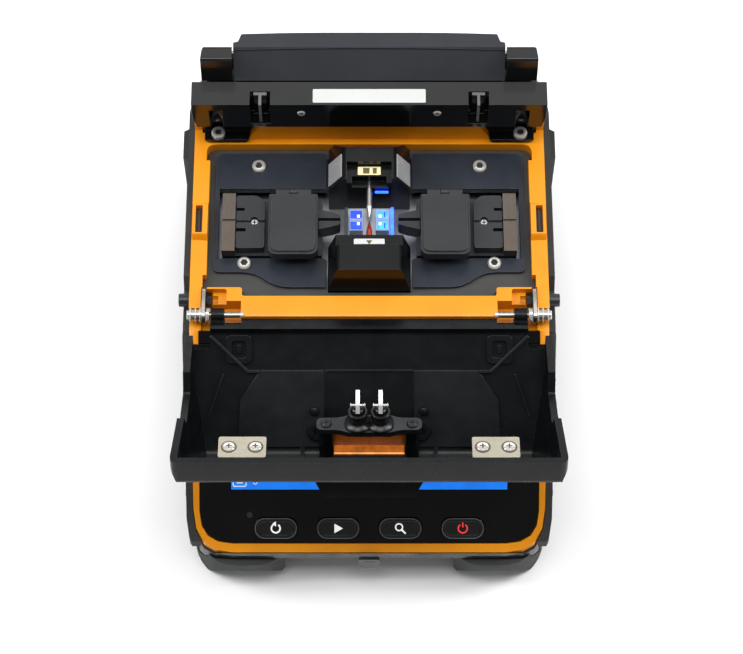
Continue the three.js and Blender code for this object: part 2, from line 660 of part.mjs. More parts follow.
// ---------------------------------------------------------------- cover hinge
function hingeBracket() {
  const plate = prismX([
    [-2.8, 75, 2], [-2.8, 81, 2.4], [3, 81, 2], [11.8, 79.6, 2], [11.8, 72.4, 2], [3, 72.4],
  ], 64.7, 66.2);
  const pin = rod('x', PIVOT_PIN.inner, 65, [0, HINGE_HEIGHT], PIVOT_PIN.radius);
  const bush = rod('x', 65, PIVOT_PIN.outer, [0, HINGE_HEIGHT], 2.3);
  const boltHole = rod('x', 60, 70, [HINGE_BOLT.y, HINGE_BOLT.z], HINGE_BOLT.radius + GAP);
  return cut(join(plate, pin, bush), boltHole);
}

function hingeBolt() {
  const at = [HINGE_BOLT.y, HINGE_BOLT.z];
  const head = rod('x', 71.7, 75.6, at, 2.8, 2.6);
  const socket = rod('x', 73.9, 77, at, 1.4, 1.4, 6);
  const shank = rod('x', 63, 72, at, HINGE_BOLT.radius, undefined, 12);
  const nut = rod('x', 62.6, 64.4, at, 2.9, 2.9, 6);
  return cut(join(head, shank, nut), socket);
}

// ---------------------------------------------------------------- wind cover
// Drawn closed, with Y and Z counted from the hinge, and turned open by its group.
const COVER = {
  rim: 1, back: 77.4, peakFront: [36, 44.5], peakBack: [43, 44.5], shoulder: 12, wall: 2.7,
};
const PRESSER = {
  plateBottom: 19.5, plateTop: 22, tubeBottom: 12.5, tube: 3.4, bore: 2.9, travel: 1.5,
  screwX: 16.7,
};
const FRONT_FOOT = [2.2, 2.6];
const REAR_TOP = [COVER.back, COVER.shoulder];
const frontSlope = Math.atan2(COVER.peakFront[1] - FRONT_FOOT[1], COVER.peakFront[0] - FRONT_FOOT[0]);
const rearSlope = Math.atan2(REAR_TOP[1] - COVER.peakBack[1], REAR_TOP[0] - COVER.peakBack[0]);

// Carries a solid drawn flat at the origin onto a slope that starts at [y, z].
function onSlope(body, [y, z], angle) {
  const matrix = new THREE.Matrix4().makeRotationX(angle).setPosition(0, y, z);
  return moved(body, matrix);
}

function coverBlock(inset) {
  const outside = inset === 0;
  const profile = prismX(outside
    ? [
      [1, COVER.rim, 0.4], [...FRONT_FOOT, 0.6], [...COVER.peakFront, 2.5],
      [...COVER.peakBack, 2.5], [...REAR_TOP, 1.6], [COVER.back, COVER.rim],
    ]
    : [
      [6.7, -2], [6.7, 3.6, 1], [37, 40.7, 2], [42.2, 41.4, 2], [74.7, 10.8, 1.5], [74.7, -2],
    ], -80, 80);
  const plan = prismZ([
    [-71.7 + inset, -1], [71.7 - inset, -1], [71.9 - inset, 28], [72.8 - inset, 54],
    [74.7 - inset, COVER.back, 3.5], [-74.7 + inset, COVER.back, 3.5], [-72.8 + inset, 54],
    [-71.9 + inset, 28],
  ], -5, 60);
  const front = prismY([
    [-76 + inset, -5], [76 - inset, -5], [75 - inset, 5, 3], [72.4 - inset, 12, 3],
    [66 - inset, 46], [-66 + inset, 46], [-72.4 + inset, 12, 3], [-75 + inset, 5, 3],
  ], -10, 90);
  return profile.intersect(plan).intersect(front);
}

function windCover() {
  const fiberNotch = prismX([[29, -2], [34, 9, 1], [50, 9, 1], [54.6, 1], [54.6, -2]], 60, 80);
  const cornerNotch = box(62.6, 80, -3, 10.5, -3, 9);
  const barrelNotch = box(50.4, 56.9, -3, 4.2, -3, 2.4);
  const windowHole = onSlope(box(-15.3, 15.3, 42.7, 53.3, -10, 10), FRONT_FOOT, frontSlope);
  const grip = onSlope(prismY([
    [-22.5, -1], [22.5, -1], [17.5, 7.6, 1], [-17.5, 7.6, 1],
  ], 20.5, 25), COVER.peakBack, rearSlope);
  const barrel = join(
    rod('x', 57.2, 62.4, [0, 0], 2.7),
    box(57.2, 62.4, 0, 4, 0.2, 2.7),
  );
  const pinHole = rod('x', 56, 64, [0, 0], PIVOT_PIN.radius + GAP);
  const catchBoss = box(39, 56.2, 64.2, 76, 2.8, 20);
  const presserBoss = cut(
    rod('z', PRESSER.plateTop + GAP, 42, [PRESSER.screwX, FIBER.y], 3),
    rod('z', PRESSER.plateTop, 30, [PRESSER.screwX, FIBER.y], 0.9, 0.9, 12),
  );
  const rib = cut(box(25.5, 27, 16, 66, 14, 45), box(20, 30, 15, 67, 0, 37));
  const outer = coverBlock(0);
  const shell = cut(outer, coverBlock(COVER.wall));
  const fittings = bothSides(join(catchBoss, presserBoss, rib)).intersect(outer);
  const joined = cut(join(shell, fittings, grip), windowHole, bothSides(join(fiberNotch, cornerNotch)),
    bothSides(barrelNotch));
  return cut(join(joined, bothSides(barrel)), bothSides(pinHole));
}

function viewingWindow() {
  return onSlope(box(-15, 15, 43, 53, -2.4, -0.4), FRONT_FOOT, frontSlope);
}

function catchPlate() {
  const plate = prismZ([
    [38.6, 63.8, 1], [56.6, 63.8, 1], [56.6, 74.2, 1], [38.6, 74.2, 1],
  ], 1.3, 2.5);
  const holes = [42.6, 52.6].map((x) => rod('z', 0, 4, [x, 69], 1.5, 1.5, 12));
  return cut(plate, ...holes);
}

function presserBracket() {
  const y = FIBER.y;
  const plate = prismZ([
    [-20.5, y - 3.2, 2.5], [-12, y - 3.2, 2], [-8, y - 4.6], [8, y - 4.6], [12, y - 3.2, 2],
    [20.5, y - 3.2, 2.5], [20.5, y + 3.2, 2.5], [12, y + 3.2, 2], [8, y + 4.6], [-8, y + 4.6],
    [-12, y + 3.2, 2], [-20.5, y + 3.2, 2.5],
  ], PRESSER.plateBottom, PRESSER.plateTop);
  const tubes = [-PRESSER_X, PRESSER_X].map((x) => (
    rod('z', PRESSER.tubeBottom, PRESSER.plateBottom + 0.5, [x, y], PRESSER.tube)
  ));
  const bores = [-PRESSER_X, PRESSER_X].map((x) => (
    rod('z', 10, PRESSER.plateTop - 0.9, [x, y], PRESSER.bore)
  ));
  const screws = [-PRESSER.screwX, PRESSER.screwX].map((x) => (
    rod('z', 10, 30, [x, y], 1.2, undefined, 12)
  ));
  return cut(join(plate, ...tubes), ...bores, ...screws);
}

function fiberPresser() {
  const y = FIBER.y;
  const bladeTop = PRESSER.tubeBottom - PRESSER.travel - GAP;
  const plunger = rod('z', bladeTop - 0.4, 19, [PRESSER_X, y], PRESSER.bore - 0.4);
  const blade = prismX([
    [y - 3.2, bladeTop], [y - 3.2, 6.4, 1], [y - 1.4, 4.5], [y + 1.4, 4.5], [y + 3.2, 6.4, 1],
    [y + 3.2, bladeTop],
  ], PRESSER_X - 0.8, PRESSER_X + 0.8);
  const crossPin = rod('x', PRESSER_X - 2.6, PRESSER_X + 2.6, [y, 9], 0.6, undefined, 12);
  return join(plunger, blade, crossPin);
}

// ---------------------------------------------------------------- assembly
place('base_tray', baseTray(), 'blackPlastic');
place('main_housing', mainHousing(), 'orangePlastic');
placePair('side_guard', sideGuard(), 'rubber');
placePair('front_bumper', frontBumper(), 'rubber');
placePair('rear_foot', rearFoot(), 'rubber');

place('front_panel', frontPanel(), 'glossBlack', panelFrame);
place('lcd_module', lcdModule(), 'screen', panelFrame);
place('keypad_board', keypadBoard(), 'circuitGreen', panelFrame);
['reset_button', 'start_button', 'zoom_button', 'power_button'].forEach((name, i) => {
  place(name, button(BUTTON.columns[i]), 'glossBlack', panelFrame);
});

place('main_board', mainBoard(), 'circuitGreen');
place('high_voltage_module', highVoltageModule(), 'blackPlastic');
place('battery_pack', batteryPack(), 'blackPlastic');
place('power_jack', powerJack(), 'blackPlastic');
place('usb_port', usbPort(), 'steel');

place('splice_chassis', spliceChassis(), 'aluminium');
place('camera_module', cameraModule(), 'blackPlastic');
placePair('stage_motor', stageMotor(), 'aluminium');
place('deck_plate', deckPlate(), 'greyPlastic');
placePair('cover_plate', coverPlate(), 'platePaint');
['front_left', 'front_right', 'rear_left', 'rear_right'].forEach((corner, i) => {
  place(`deck_screw_${corner}`, deckScrew(SCREW_SPOTS[i]), 'steel');
});
placePair('stage', stage(), 'greyPlastic');
placePair('fiber_guide', fiberGuide(), 'steel');
placePair('sheath_clamp', sheathLid(), 'greyPlastic');
place('arc_block_rear', arcBlockRear(), 'blackPlastic');
place('arc_block_front', arcBlockFront(), 'blackPlastic');
placePair('v_groove', vGroove(), 'ceramic');
place('electrode_rear', electrode(66, FIBER.y + 0.8), 'steel');
place('electrode_front', electrode(19, FIBER.y - 0.8), 'steel');

place('heater_housing', heaterHousing(), 'blackPlastic');
place('heater_tray', heaterTray(), 'aluminium');
place('heater_lid', heaterLid(), 'greyPlastic');
placePair('heater_clamp', heaterClamp(), 'blackPlastic');
place('heater_hinge_pin', heaterHingePin(), 'steel');

placePair('hinge_bracket', hingeBracket(), 'steel');
placePair('hinge_bolt', hingeBolt(), 'darkSteel');
place('wind_cover', windCover(), 'blackPlastic', coverFrame);
place('viewing_window', viewingWindow(), 'amber', coverFrame);
placePair('catch_plate', catchPlate(), 'steel', coverFrame);
place('presser_bracket', presserBracket(), 'darkSteel', coverFrame);
placePair('fiber_presser', fiberPresser(), 'ceramic', coverFrame);

export default splicer;
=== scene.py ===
import json
import math

import bmesh
import bpy
from mathutils import Matrix, Vector


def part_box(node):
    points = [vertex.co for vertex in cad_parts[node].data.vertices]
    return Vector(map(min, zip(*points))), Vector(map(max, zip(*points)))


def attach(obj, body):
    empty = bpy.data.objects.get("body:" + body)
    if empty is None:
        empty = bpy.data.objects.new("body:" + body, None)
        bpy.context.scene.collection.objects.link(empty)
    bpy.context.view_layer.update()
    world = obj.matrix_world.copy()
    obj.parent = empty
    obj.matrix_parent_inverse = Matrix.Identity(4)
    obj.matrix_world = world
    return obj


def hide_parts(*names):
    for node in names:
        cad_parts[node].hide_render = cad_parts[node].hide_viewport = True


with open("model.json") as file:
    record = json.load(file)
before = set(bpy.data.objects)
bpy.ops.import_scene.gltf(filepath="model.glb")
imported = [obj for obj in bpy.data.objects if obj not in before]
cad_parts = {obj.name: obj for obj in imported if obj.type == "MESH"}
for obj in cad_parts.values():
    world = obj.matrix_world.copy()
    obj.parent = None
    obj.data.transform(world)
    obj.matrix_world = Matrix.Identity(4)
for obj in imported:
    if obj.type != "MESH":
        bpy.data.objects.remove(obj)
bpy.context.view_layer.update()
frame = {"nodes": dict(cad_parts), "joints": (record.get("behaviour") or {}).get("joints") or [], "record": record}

# ------------------------------------------------------------------ the frame's own places
MM = 0.001
SCENE = bpy.context.scene
JOINTS = {joint["name"]: joint for joint in frame["joints"]}
HINGE = Vector(JOINTS["wind_cover_hinge"]["pos_m"])
OPEN_ANGLE = math.radians(JOINTS["wind_cover_hinge"]["range_deg"][1])
PRESS = Vector(JOINTS["reset_button_travel"]["axis"]).normalized()
TILT = math.atan2(PRESS.y, -PRESS.z)
SIDES = (("left", -1), ("right", 1))


def middle(node):
    low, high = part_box(node)
    return (low + high) / 2


def scaled(matrix):
    """A frame in metres that takes points given in millimetres."""
    return matrix @ Matrix.Scale(MM, 4)


def at(point, rotation=None):
    """A millimetre frame whose origin is a point of the row frame, in metres."""
    turn = rotation.to_4x4() if rotation else Matrix.Identity(4)
    return scaled(Matrix.Translation(point) @ turn)


def from_hinge(place, side=1):
    """A point of the row frame from millimetres, with y counted from the cover's hinge."""
    x, y, z = place
    return Vector((side * x * MM, HINGE.y + y * MM, z * MM))


# The cover's own frame: drawn shut, Y and Z from the hinge, and turned open.
COVER = scaled(Matrix.Translation(HINGE) @ Matrix.Rotation(OPEN_ANGLE, 4, "X"))
# The panel's own frame: Y up the slope and Z out of it, from the middle of its top face.
PANEL_HALF_THICKNESS = 1.0
PANEL = scaled(
    Matrix.Translation(middle("front_panel") - PRESS * PANEL_HALF_THICKNESS * MM)
    @ Matrix.Rotation(TILT, 4, "X")
)
FACE_FRONT = Matrix.Rotation(math.pi / 2, 3, "X")  # local Z points at the user (-Y)
FACE_REAR = Matrix.Rotation(-math.pi / 2, 3, "X")  # local Z points away (+Y)
FACE_RIGHT = Matrix.Rotation(math.pi / 2, 3, "Y")  # local Z points along +X
FACE_LEFT = Matrix.Rotation(-math.pi / 2, 3, "Y")  # local Z points along -X
FACE_DOWN = Matrix.Rotation(math.pi, 3, "X")


# ------------------------------------------------------------------ camera, lights and floor
ELEVATION = math.radians(64)
DISTANCE = 0.95
LENS = 116.9
SENSOR = 36
AIM = HINGE + Vector((0.0009, -0.0053, 0))
SKY_STRENGTH = 0.3
# Each softbox's name, its place and size in metres, and its power in watts.
SOFTBOXES = (
    ("left_softbox", (-1.0, 0.1, 1.2), (0.5, 1.1), 14),
    ("right_softbox", (1.1, 0.2, 1.15), (0.5, 1.1), 15.5),
    ("overhead_softbox", (0.0, -0.25, 1.9), (1.0, 0.6), 13),
    ("rear_softbox", (0.0, 1.5, 0.75), (1.3, 0.4), 4),
    ("top_softbox", (0.1, 0.75, 1.5), (1.1, 0.9), 3.8),
)
FLOOR_REACH = 4.0
FLOOR_WHITE = 0.93


def make_camera():
    data = bpy.data.cameras.new("camera")
    data.lens = LENS
    data.sensor_width = SENSOR
    camera = bpy.data.objects.new("camera", data)
    camera.location = AIM + DISTANCE * Vector((0, -math.cos(ELEVATION), math.sin(ELEVATION)))
    camera.rotation_euler = (math.pi / 2 - ELEVATION, 0, 0)
    SCENE.collection.objects.link(camera)
    SCENE.camera = camera


def softbox(name, place, size, power):
    data = bpy.data.lights.new(name, "AREA")
    data.shape = "RECTANGLE"
    data.size, data.size_y = size
    data.energy = power
    lamp = bpy.data.objects.new(name, data)
    lamp.location = place
    lamp.rotation_euler = (AIM - Vector(place)).to_track_quat("-Z", "Y").to_euler()
    SCENE.collection.objects.link(lamp)


def make_lights():
    SCENE.view_settings.view_transform = "Standard"
    world = bpy.data.worlds.new("studio")
    world.use_nodes = True
    sky = world.node_tree.nodes["Background"]
    sky.inputs["Color"].default_value = (1, 1, 1, 1)
    sky.inputs["Strength"].default_value = SKY_STRENGTH
    SCENE.world = world
    for name, place, size, power in SOFTBOXES:
        softbox(name, place, size, power)


def make_floor():
    floor = bpy.data.meshes.new("floor")
    corners = [(x * FLOOR_REACH, y * FLOOR_REACH, 0) for x, y in ((-1, -1), (1, -1), (1, 1), (-1, 1))]
    floor.from_pydata(corners, [], [(0, 1, 2, 3)])
    floor_object = bpy.data.objects.new("floor", floor)
    SCENE.collection.objects.link(floor_object)
    pale = bpy.data.materials.new("floor_pale")
    pale.use_nodes = True
    shader = pale.node_tree.nodes["Principled BSDF"]
    shader.inputs["Base Color"].default_value = (FLOOR_WHITE, FLOOR_WHITE, FLOOR_WHITE, 1)
    shader.inputs["Roughness"].default_value = 0.9
    shader.inputs["Specular IOR Level"].default_value = 0.1
    floor.materials.append(pale)


# ------------------------------------------------------------------ materials
def linear(color):
    """A hexadecimal colour as linear red, green and blue."""
    values = [int(color[i:i + 2], 16) / 255 for i in (1, 3, 5)]
    return [v / 12.92 if v <= 0.04045 else ((v + 0.055) / 1.055) ** 2.4 for v in values]


class Finish:
    """A node material with moulding or machining grain, mottled colour, and edges lightened partly by scuffing and
    partly by a painted highlight.
    """

    def __init__(self, name, color, roughness, metallic=0.0, specular=0.5):
        self.material = bpy.data.materials.new(name)
        self.material.use_nodes = True
        self.tree = self.material.node_tree
        self.shader = self.tree.nodes["Principled BSDF"]
        self.color = linear(color)
        self.roughness = roughness
        self.set("Metallic", metallic)
        self.set("Specular IOR Level", specular)
        coordinates = self.add("ShaderNodeTexCoord")
        self.place = coordinates.outputs["Object"]
        self.normal = None

    def set(self, socket, value):
        self.shader.inputs[socket].default_value = value
        return self

    def add(self, kind, **values):
        node = self.tree.nodes.new(kind)
        for key, value in values.items():
            if key in node.inputs:
                node.inputs[key].default_value = value
            else:
                setattr(node, key, value)
        return node

    def link(self, source, target):
        self.tree.links.new(source, target)

    def noise(self, size, detail=3.0, place=None):
        """Noise whose features are about size millimetres across."""
        node = self.add("ShaderNodeTexNoise", Scale=1 / (size * MM), Detail=detail)
        self.link(place or self.place, node.inputs["Vector"])
        return node.outputs["Fac"]

    def stretched(self, along):
        """Coordinates drawn out along an axis, for brushed and turned marks."""
        node = self.add("ShaderNodeMapping")
        node.inputs["Scale"].default_value = [0.03 if axis == along else 1 for axis in "XYZ"]
        self.link(self.place, node.inputs["Vector"])
        return node.outputs["Vector"]

    def ranged(self, value, low, high, to_low, to_high):
        """The value with low..high drawn out to to_low..to_high."""
        node = self.add("ShaderNodeMapRange")
        for socket, number in zip(
            ("From Min", "From Max", "To Min", "To Max"), (low, high, to_low, to_high)
        ):
            node.inputs[socket].default_value = number
        self.link(value, node.inputs["Value"])
        return node.outputs["Result"]

    def mixed(self, factor, first, second):
        node = self.add("ShaderNodeMix", data_type="RGBA")
        for socket, value in ((6, first), (7, second)):
            if isinstance(value, (list, tuple)):
                node.inputs[socket].default_value = (*value[:3], 1)
            else:
                self.link(value, node.inputs[socket])
        self.link(factor, node.inputs[0])
        return node.outputs[2]

    def bump(self, height, depth):
        """Relief of depth millimetres, on top of any relief that is there."""
        node = self.add("ShaderNodeBump", Strength=1.0, Distance=depth * MM)
        self.link(height, node.inputs["Height"])
        if self.normal:
            self.link(self.normal, node.inputs["Normal"])
        self.normal = node.outputs["Normal"]

    def edges(self, radius):
        """1 along the outer edges within radius millimetres, and 0 on the flats."""
        rounded = self.add("ShaderNodeBevel", samples=4, Radius=radius * MM)
        geometry = self.add("ShaderNodeNewGeometry")
        dot = self.add("ShaderNodeVectorMath", operation="DOT_PRODUCT")
        self.link(rounded.outputs["Normal"], dot.inputs[0])
        self.link(geometry.outputs["Normal"], dot.inputs[1])
        return self.ranged(dot.outputs["Value"], 0.8, 0.99, 1, 0)

    def product(self, a, b):
        node = self.add("ShaderNodeMath", operation="MULTIPLY")
        self.link(a, node.inputs[0])
        self.link(b, node.inputs[1])
        return node.outputs["Value"]

    def finish(self, mottle=0.1, spread=0.06, grain=0.4, depth=0.02, edge_wear_and_glint=0.35, edge_wear_and_glint_to=2.2,
               edge=0.35, brushed=None):
        """Links the surface up. mottle and spread say how far colour and roughness wander, grain
        and depth are the relief in millimetres, the two arguments after depth say how much and how
        light the edges are made for edge millimetres, partly scuffing and partly a painted highlight
        along them, and brushed names the axis of the brush marks."""
        light = [min(1, c * (1 + mottle) + 0.002) for c in self.color]
        dark = [c * (1 - mottle) for c in self.color]
        body = self.mixed(self.ranged(self.noise(14, 4), 0.3, 0.7, 0, 1), dark, light)
        if brushed:
            lines = self.noise(0.12, 4, self.stretched(brushed))
            body = self.mixed(self.ranged(lines, 0.35, 0.65, 0, 0.35), body,
                              [c * 0.62 for c in self.color])
            self.bump(lines, depth)
            smears = lines
        else:
            self.bump(self.noise(grain, 2), depth)
            smears = self.noise(6, 5)
        rough = self.ranged(smears, 0.3, 0.7, self.roughness - spread, self.roughness + spread)
        # Edge lightening: partly scuffing, and where an edge is made many times lighter than its colour, a painted
        # highlight.
        if edge_wear_and_glint:
            broken = self.ranged(self.noise(1.6, 4), 0.42, 0.62, 0.25, 1)
            worn_and_glinting = self.ranged(self.product(self.edges(edge), broken), 0, 1, 0, edge_wear_and_glint)
            body = self.mixed(worn_and_glinting, body, [min(1, c * edge_wear_and_glint_to + 0.012) for c in self.color])
        self.link(body, self.shader.inputs["Base Color"])
        self.link(rough, self.shader.inputs["Roughness"])
        self.link(self.normal, self.shader.inputs["Normal"])
        return self.material


def glow(name, color, strength, dim=0.7):
    """A surface that gives off light, with a faint unevenness: the screen's and the lamps' own light, and painted
    light where it is given to print, grooves and the window.
    """
    look = Finish(name, color, 0.25)
    uneven = look.ranged(look.noise(3, 2), 0.3, 0.7, 0, 1)
    body = look.mixed(uneven, [c * dim for c in look.color], look.color)
    look.link(body, look.shader.inputs["Base Color"])
    look.link(body, look.shader.inputs["Emission Color"])
    look.set("Emission Strength", strength)
    look.set("Roughness", 0.25)
    return look.material


# Where a finish makes its edges many times lighter than its colour (plates, blocks, lid, cover, buttons, the
# oven), that edge lightening is a painted highlight.
LOOK = {
    "orange_shell": Finish("orange_plastic", "#e08c04", 0.34, specular=0.35).finish(
        mottle=0.05, grain=0.5, depth=0.012, edge_wear_and_glint=0.25, edge_wear_and_glint_to=1.3),
    "black_shell": Finish("black_plastic", "#111213", 0.3, specular=0.4).finish(grain=0.35, depth=0.02),
    "battery_case": Finish("battery_plastic", "#2a2a2c", 0.5).finish(grain=0.5, depth=0.04),
    "rubber": Finish("guard_rubber", "#2a2c2c", 0.66, specular=0.35).finish(
        mottle=0.14, grain=0.22, depth=0.03, edge_wear_and_glint=0.3, edge_wear_and_glint_to=1.7),
    "gloss_panel": Finish("gloss_acrylic", "#030304", 0.07, specular=0.25).finish(
        mottle=0.02, spread=0.025, grain=2.5, depth=0.002, edge_wear_and_glint=0.2),
    "button_cap": Finish("button_gloss", "#0a0a0b", 0.13).finish(
        spread=0.03, grain=2, depth=0.003, edge_wear_and_glint=0.5, edge_wear_and_glint_to=4, edge=0.3),
    "circuit_board": Finish("circuit_green", "#145a30", 0.4).finish(grain=1.2, depth=0.03),
    "steel": Finish("brushed_steel", "#bcb8b0", 0.3, metallic=1).finish(
        mottle=0.05, spread=0.07, depth=0.004, edge_wear_and_glint=0.3, edge_wear_and_glint_to=1.3, brushed="X"),
    "dark_steel": Finish("black_oxide", "#3c3d3f", 0.36, metallic=0.85).finish(
        mottle=0.12, grain=0.3, depth=0.01, edge_wear_and_glint=0.4),
    "aluminium": Finish("machined_aluminium", "#a2a4a8", 0.36, metallic=1).finish(
        mottle=0.05, depth=0.005, edge_wear_and_glint=0.2, edge_wear_and_glint_to=1.2, brushed="Y"),
    "deck_grey": Finish("deck_plastic", "#383937", 0.46, specular=0.3).finish(grain=0.3, depth=0.025),
    "plate_paint": Finish("plate_paint", "#20252e", 0.38, metallic=0.1, specular=0.3).finish(
        grain=0.28, depth=0.018, edge_wear_and_glint=0.95, edge_wear_and_glint_to=7),
    "stage_grey": Finish("stage_plastic", "#26282b", 0.42, specular=0.35).finish(
        grain=0.3, depth=0.02, edge_wear_and_glint=0.85, edge_wear_and_glint_to=5),
    "arc_black": Finish("arc_plastic", "#0c0d0e", 0.18, specular=0.2).finish(
        grain=0.5, depth=0.008, edge_wear_and_glint=0.95, edge_wear_and_glint_to=12),
    "ceramic": Finish("zirconia", "#f2f3f5", 0.2).finish(
        mottle=0.02, spread=0.04, grain=0.6, depth=0.003, edge_wear_and_glint=0.0),
    "lid_grey": Finish("lid_plastic", "#303236", 0.5, specular=0.16).finish(
        mottle=0.05, grain=0.28, depth=0.02, edge_wear_and_glint=0.6, edge_wear_and_glint_to=3),
    "cover_black": Finish("cover_plastic", "#07090b", 0.3, specular=0.2).finish(
        mottle=0.14, grain=0.4, depth=0.014, edge_wear_and_glint=0.8, edge_wear_and_glint_to=9),
}


def amber():
    """Clear amber plastic for the cover's window."""
    look = Finish("amber_polycarbonate", "#d86a10", 0.1)
    body = look.mixed(look.ranged(look.noise(9, 3), 0.3, 0.7, 0, 1),
                      [0.75, 0.17, 0.012], [0.9, 0.27, 0.03])
    look.link(body, look.shader.inputs["Base Color"])
    look.bump(look.noise(5, 2), 0.01)
    look.link(look.normal, look.shader.inputs["Normal"])
    rough = look.ranged(look.noise(4, 3), 0.3, 0.7, 0.05, 0.13)
    look.link(rough, look.shader.inputs["Roughness"])
    look.set("Transmission Weight", 0.75).set("IOR", 1.58)
    return look.material


LOOK["amber_window"] = amber()
LOOK["screen"] = Finish("screen_glass", "#0b0d12", 0.06).finish(
    mottle=0.02, spread=0.02, grain=3, depth=0.001, edge_wear_and_glint=0.0)
PAPER = Finish("label_paper", "#c6c8c6", 0.5).finish(
    mottle=0.02, grain=0.15, depth=0.006, edge_wear_and_glint=0.0)
GOLD_FOIL = Finish("label_foil", "#e6d9a8", 0.35, metallic=0.2).finish(
    mottle=0.12, grain=0.3, depth=0.008, edge_wear_and_glint=0.0)
OVEN_GLOSS = Finish("oven_gloss", "#0a0b0c", 0.14, specular=0.45).finish(
    spread=0.03, grain=1.5, depth=0.004, edge_wear_and_glint=0.6, edge_wear_and_glint_to=5, edge=0.4)
COVER_GREY = Finish("cover_pad_grey", "#0f1214", 0.32, specular=0.25).finish(
    mottle=0.16, grain=0.35, depth=0.014, edge_wear_and_glint=0.8, edge_wear_and_glint_to=6, edge=0.4)
CHEEK_GREY = Finish("arc_cheek_grey", "#8d8f92", 0.25).finish(
    mottle=0.12, grain=0.5, depth=0.006, edge_wear_and_glint=0.5, edge_wear_and_glint_to=1.6)
CLIP_GREY = Finish("clip_grey", "#5c5e60", 0.4).finish(grain=0.4, depth=0.01, edge_wear_and_glint=0.4)
# Steel made paler and less metallic than the brushed steel, so that screws and rings stay light where they are
# shaded: a lit copy of the steel, which is painted light.
STEEL_PAINTED_BRIGHT = Finish("steel_painted_bright", "#d4d2cd", 0.22, metallic=0.6).finish(
    mottle=0.04, depth=0.002, edge_wear_and_glint=0.25, edge_wear_and_glint_to=1.2, brushed="Z")
SATIN_NICKEL = Finish("satin_nickel", "#b9b2a2", 0.34, metallic=0.9).finish(
    mottle=0.06, depth=0.003, edge_wear_and_glint=0.2, edge_wear_and_glint_to=1.2, brushed="X")
GUIDE_STEEL = Finish("guide_steel", "#655c55", 0.3, metallic=0.9).finish(
    mottle=0.1, depth=0.004, edge_wear_and_glint=0.6, edge_wear_and_glint_to=2, brushed="Y")
GROOVE_GLASS = Finish("groove_ceramic", "#8fa0c4", 0.22).finish(
    mottle=0.05, spread=0.04, grain=0.6, depth=0.003, edge_wear_and_glint=0.0)
# White and red that give off light: on the screen this is the screen's own light, on the printed button signs it
# is a painted glow, and on the groove faces the white marks are painted glints.
WHITE_GLOW = glow("white_glow", "#eef0f2", 0.55, dim=0.95)
PRINT_RED_GLOW = glow("print_red_glow", "#f0393c", 0.7, dim=0.9)
SCREEN_AZURE = glow("screen_azure", "#0f7cf2", 0.8, dim=0.85)
SCREEN_NIGHT = glow("screen_night", "#1a2430", 0.5)
SCREEN_FIBER = glow("screen_fiber", "#8fa3b4", 0.7)
SCREEN_GOLD = glow("screen_gold", "#f4e6a4", 0.8)
BLUE_LIGHT = glow("blue_light", "#1d4dff", 6.0)
# Painted light on the groove faces, a stronger and a weaker copy.
GROOVE_PAINTED_BLUE = glow("groove_painted_blue", "#0d3fc8", 1.1, dim=0.5)
GROOVE_PAINTED_BRIGHT = glow("groove_painted_bright", "#3b9bff", 1.2, dim=0.6)
# Painted light where light comes through the amber window, and a painted highlight line in it.
AMBER_PAINTED_GLOW = glow("amber_painted_glow", "#d8700c", 0.3, dim=0.6)
AMBER_PAINTED_HIGHLIGHT = glow("amber_painted_highlight", "#ffc470", 0.8)
# A grey outline round each button dish that is a painted highlight on its edge.
OUTLINE_PAINTED_HIGHLIGHT = Finish("outline_painted_highlight", "#5a5c60", 0.4).finish(grain=0.4, depth=0.003, edge_wear_and_glint=0.0)
SENSOR_GREY = Finish("sensor_grey", "#232426", 0.3).finish(grain=0.4, depth=0.003, edge_wear_and_glint=0.0)
HOT_TUNGSTEN = Finish("hot_tungsten", "#c8503c", 0.3, metallic=0.8).finish(
    mottle=0.2, depth=0.003, edge_wear_and_glint=0.0, brushed="Y")
# Painted shade inside the fiber exit slots.
SLOT_PAINTED_SHADE = Finish("slot_painted_shade", "#2c2622", 0.5).finish(grain=0.4, depth=0.02, edge_wear_and_glint=0.3)
# Dark foil print on the plates, and painted shade in and round the heads of the catch screws.
DARK_FOIL_PRINT_AND_SHADE = Finish("dark_foil_print_and_shade", "#5c5230", 0.4, metallic=0.3).finish(
    grain=0.3, depth=0.004, edge_wear_and_glint=0.0)
# Painted shade: at the bottom of screw recesses, in rings round screw heads and in the crease under the oven lid's
# ridge.
PAINTED_SHADE_BLACK = Finish("painted_shade_black", "#060607", 0.6).finish(grain=0.3, depth=0.01, edge_wear_and_glint=0.0)


# ------------------------------------------------------------------ mesh building
TURNED_SIDES = 40
SCREW_SIDES = 48
COIL_STEPS = 20
RECESS_TURN = 0.01  # radians, which keeps the points off the corners of a recess
SMOOTH_ANGLE = math.radians(32)


def arc(cx, cy, radius, start, end, steps):
    """Points of an arc, with its angles in degrees."""
    return [
        (cx + radius * math.cos(a), cy + radius * math.sin(a))
        for a in (math.radians(start + (end - start) * i / steps) for i in range(steps + 1))
    ]


def arc_band(radius, width, start, end):
    """The outline of a curved stroke, with angles in degrees."""
    return arc(0, 0, radius + width / 2, start, end, 28) + arc(
        0, 0, radius - width / 2, end, start, 28)


def rounded(width, height, radius, cx=0.0, cy=0.0, steps=6):
    """The outline of a rectangle with rounded corners."""
    x, y = width / 2 - radius, height / 2 - radius
    corners = ((x, y, 0), (-x, y, 90), (-x, -y, 180), (x, -y, 270))
    return [p for u, v, a in corners for p in arc(cx + u, cy + v, radius, a, a + 90, steps)]


def mirrored(outline, side):
    return [(side * x, y) for x, y in outline]


def prism(outline, low, high):
    n = len(outline)
    points = [(x, y, z) for z in (low, high) for x, y in outline]
    sides = [(i, (i + 1) % n, n + (i + 1) % n, n + i) for i in range(n)]
    return points, [tuple(reversed(range(n))), tuple(range(n, 2 * n)), *sides]


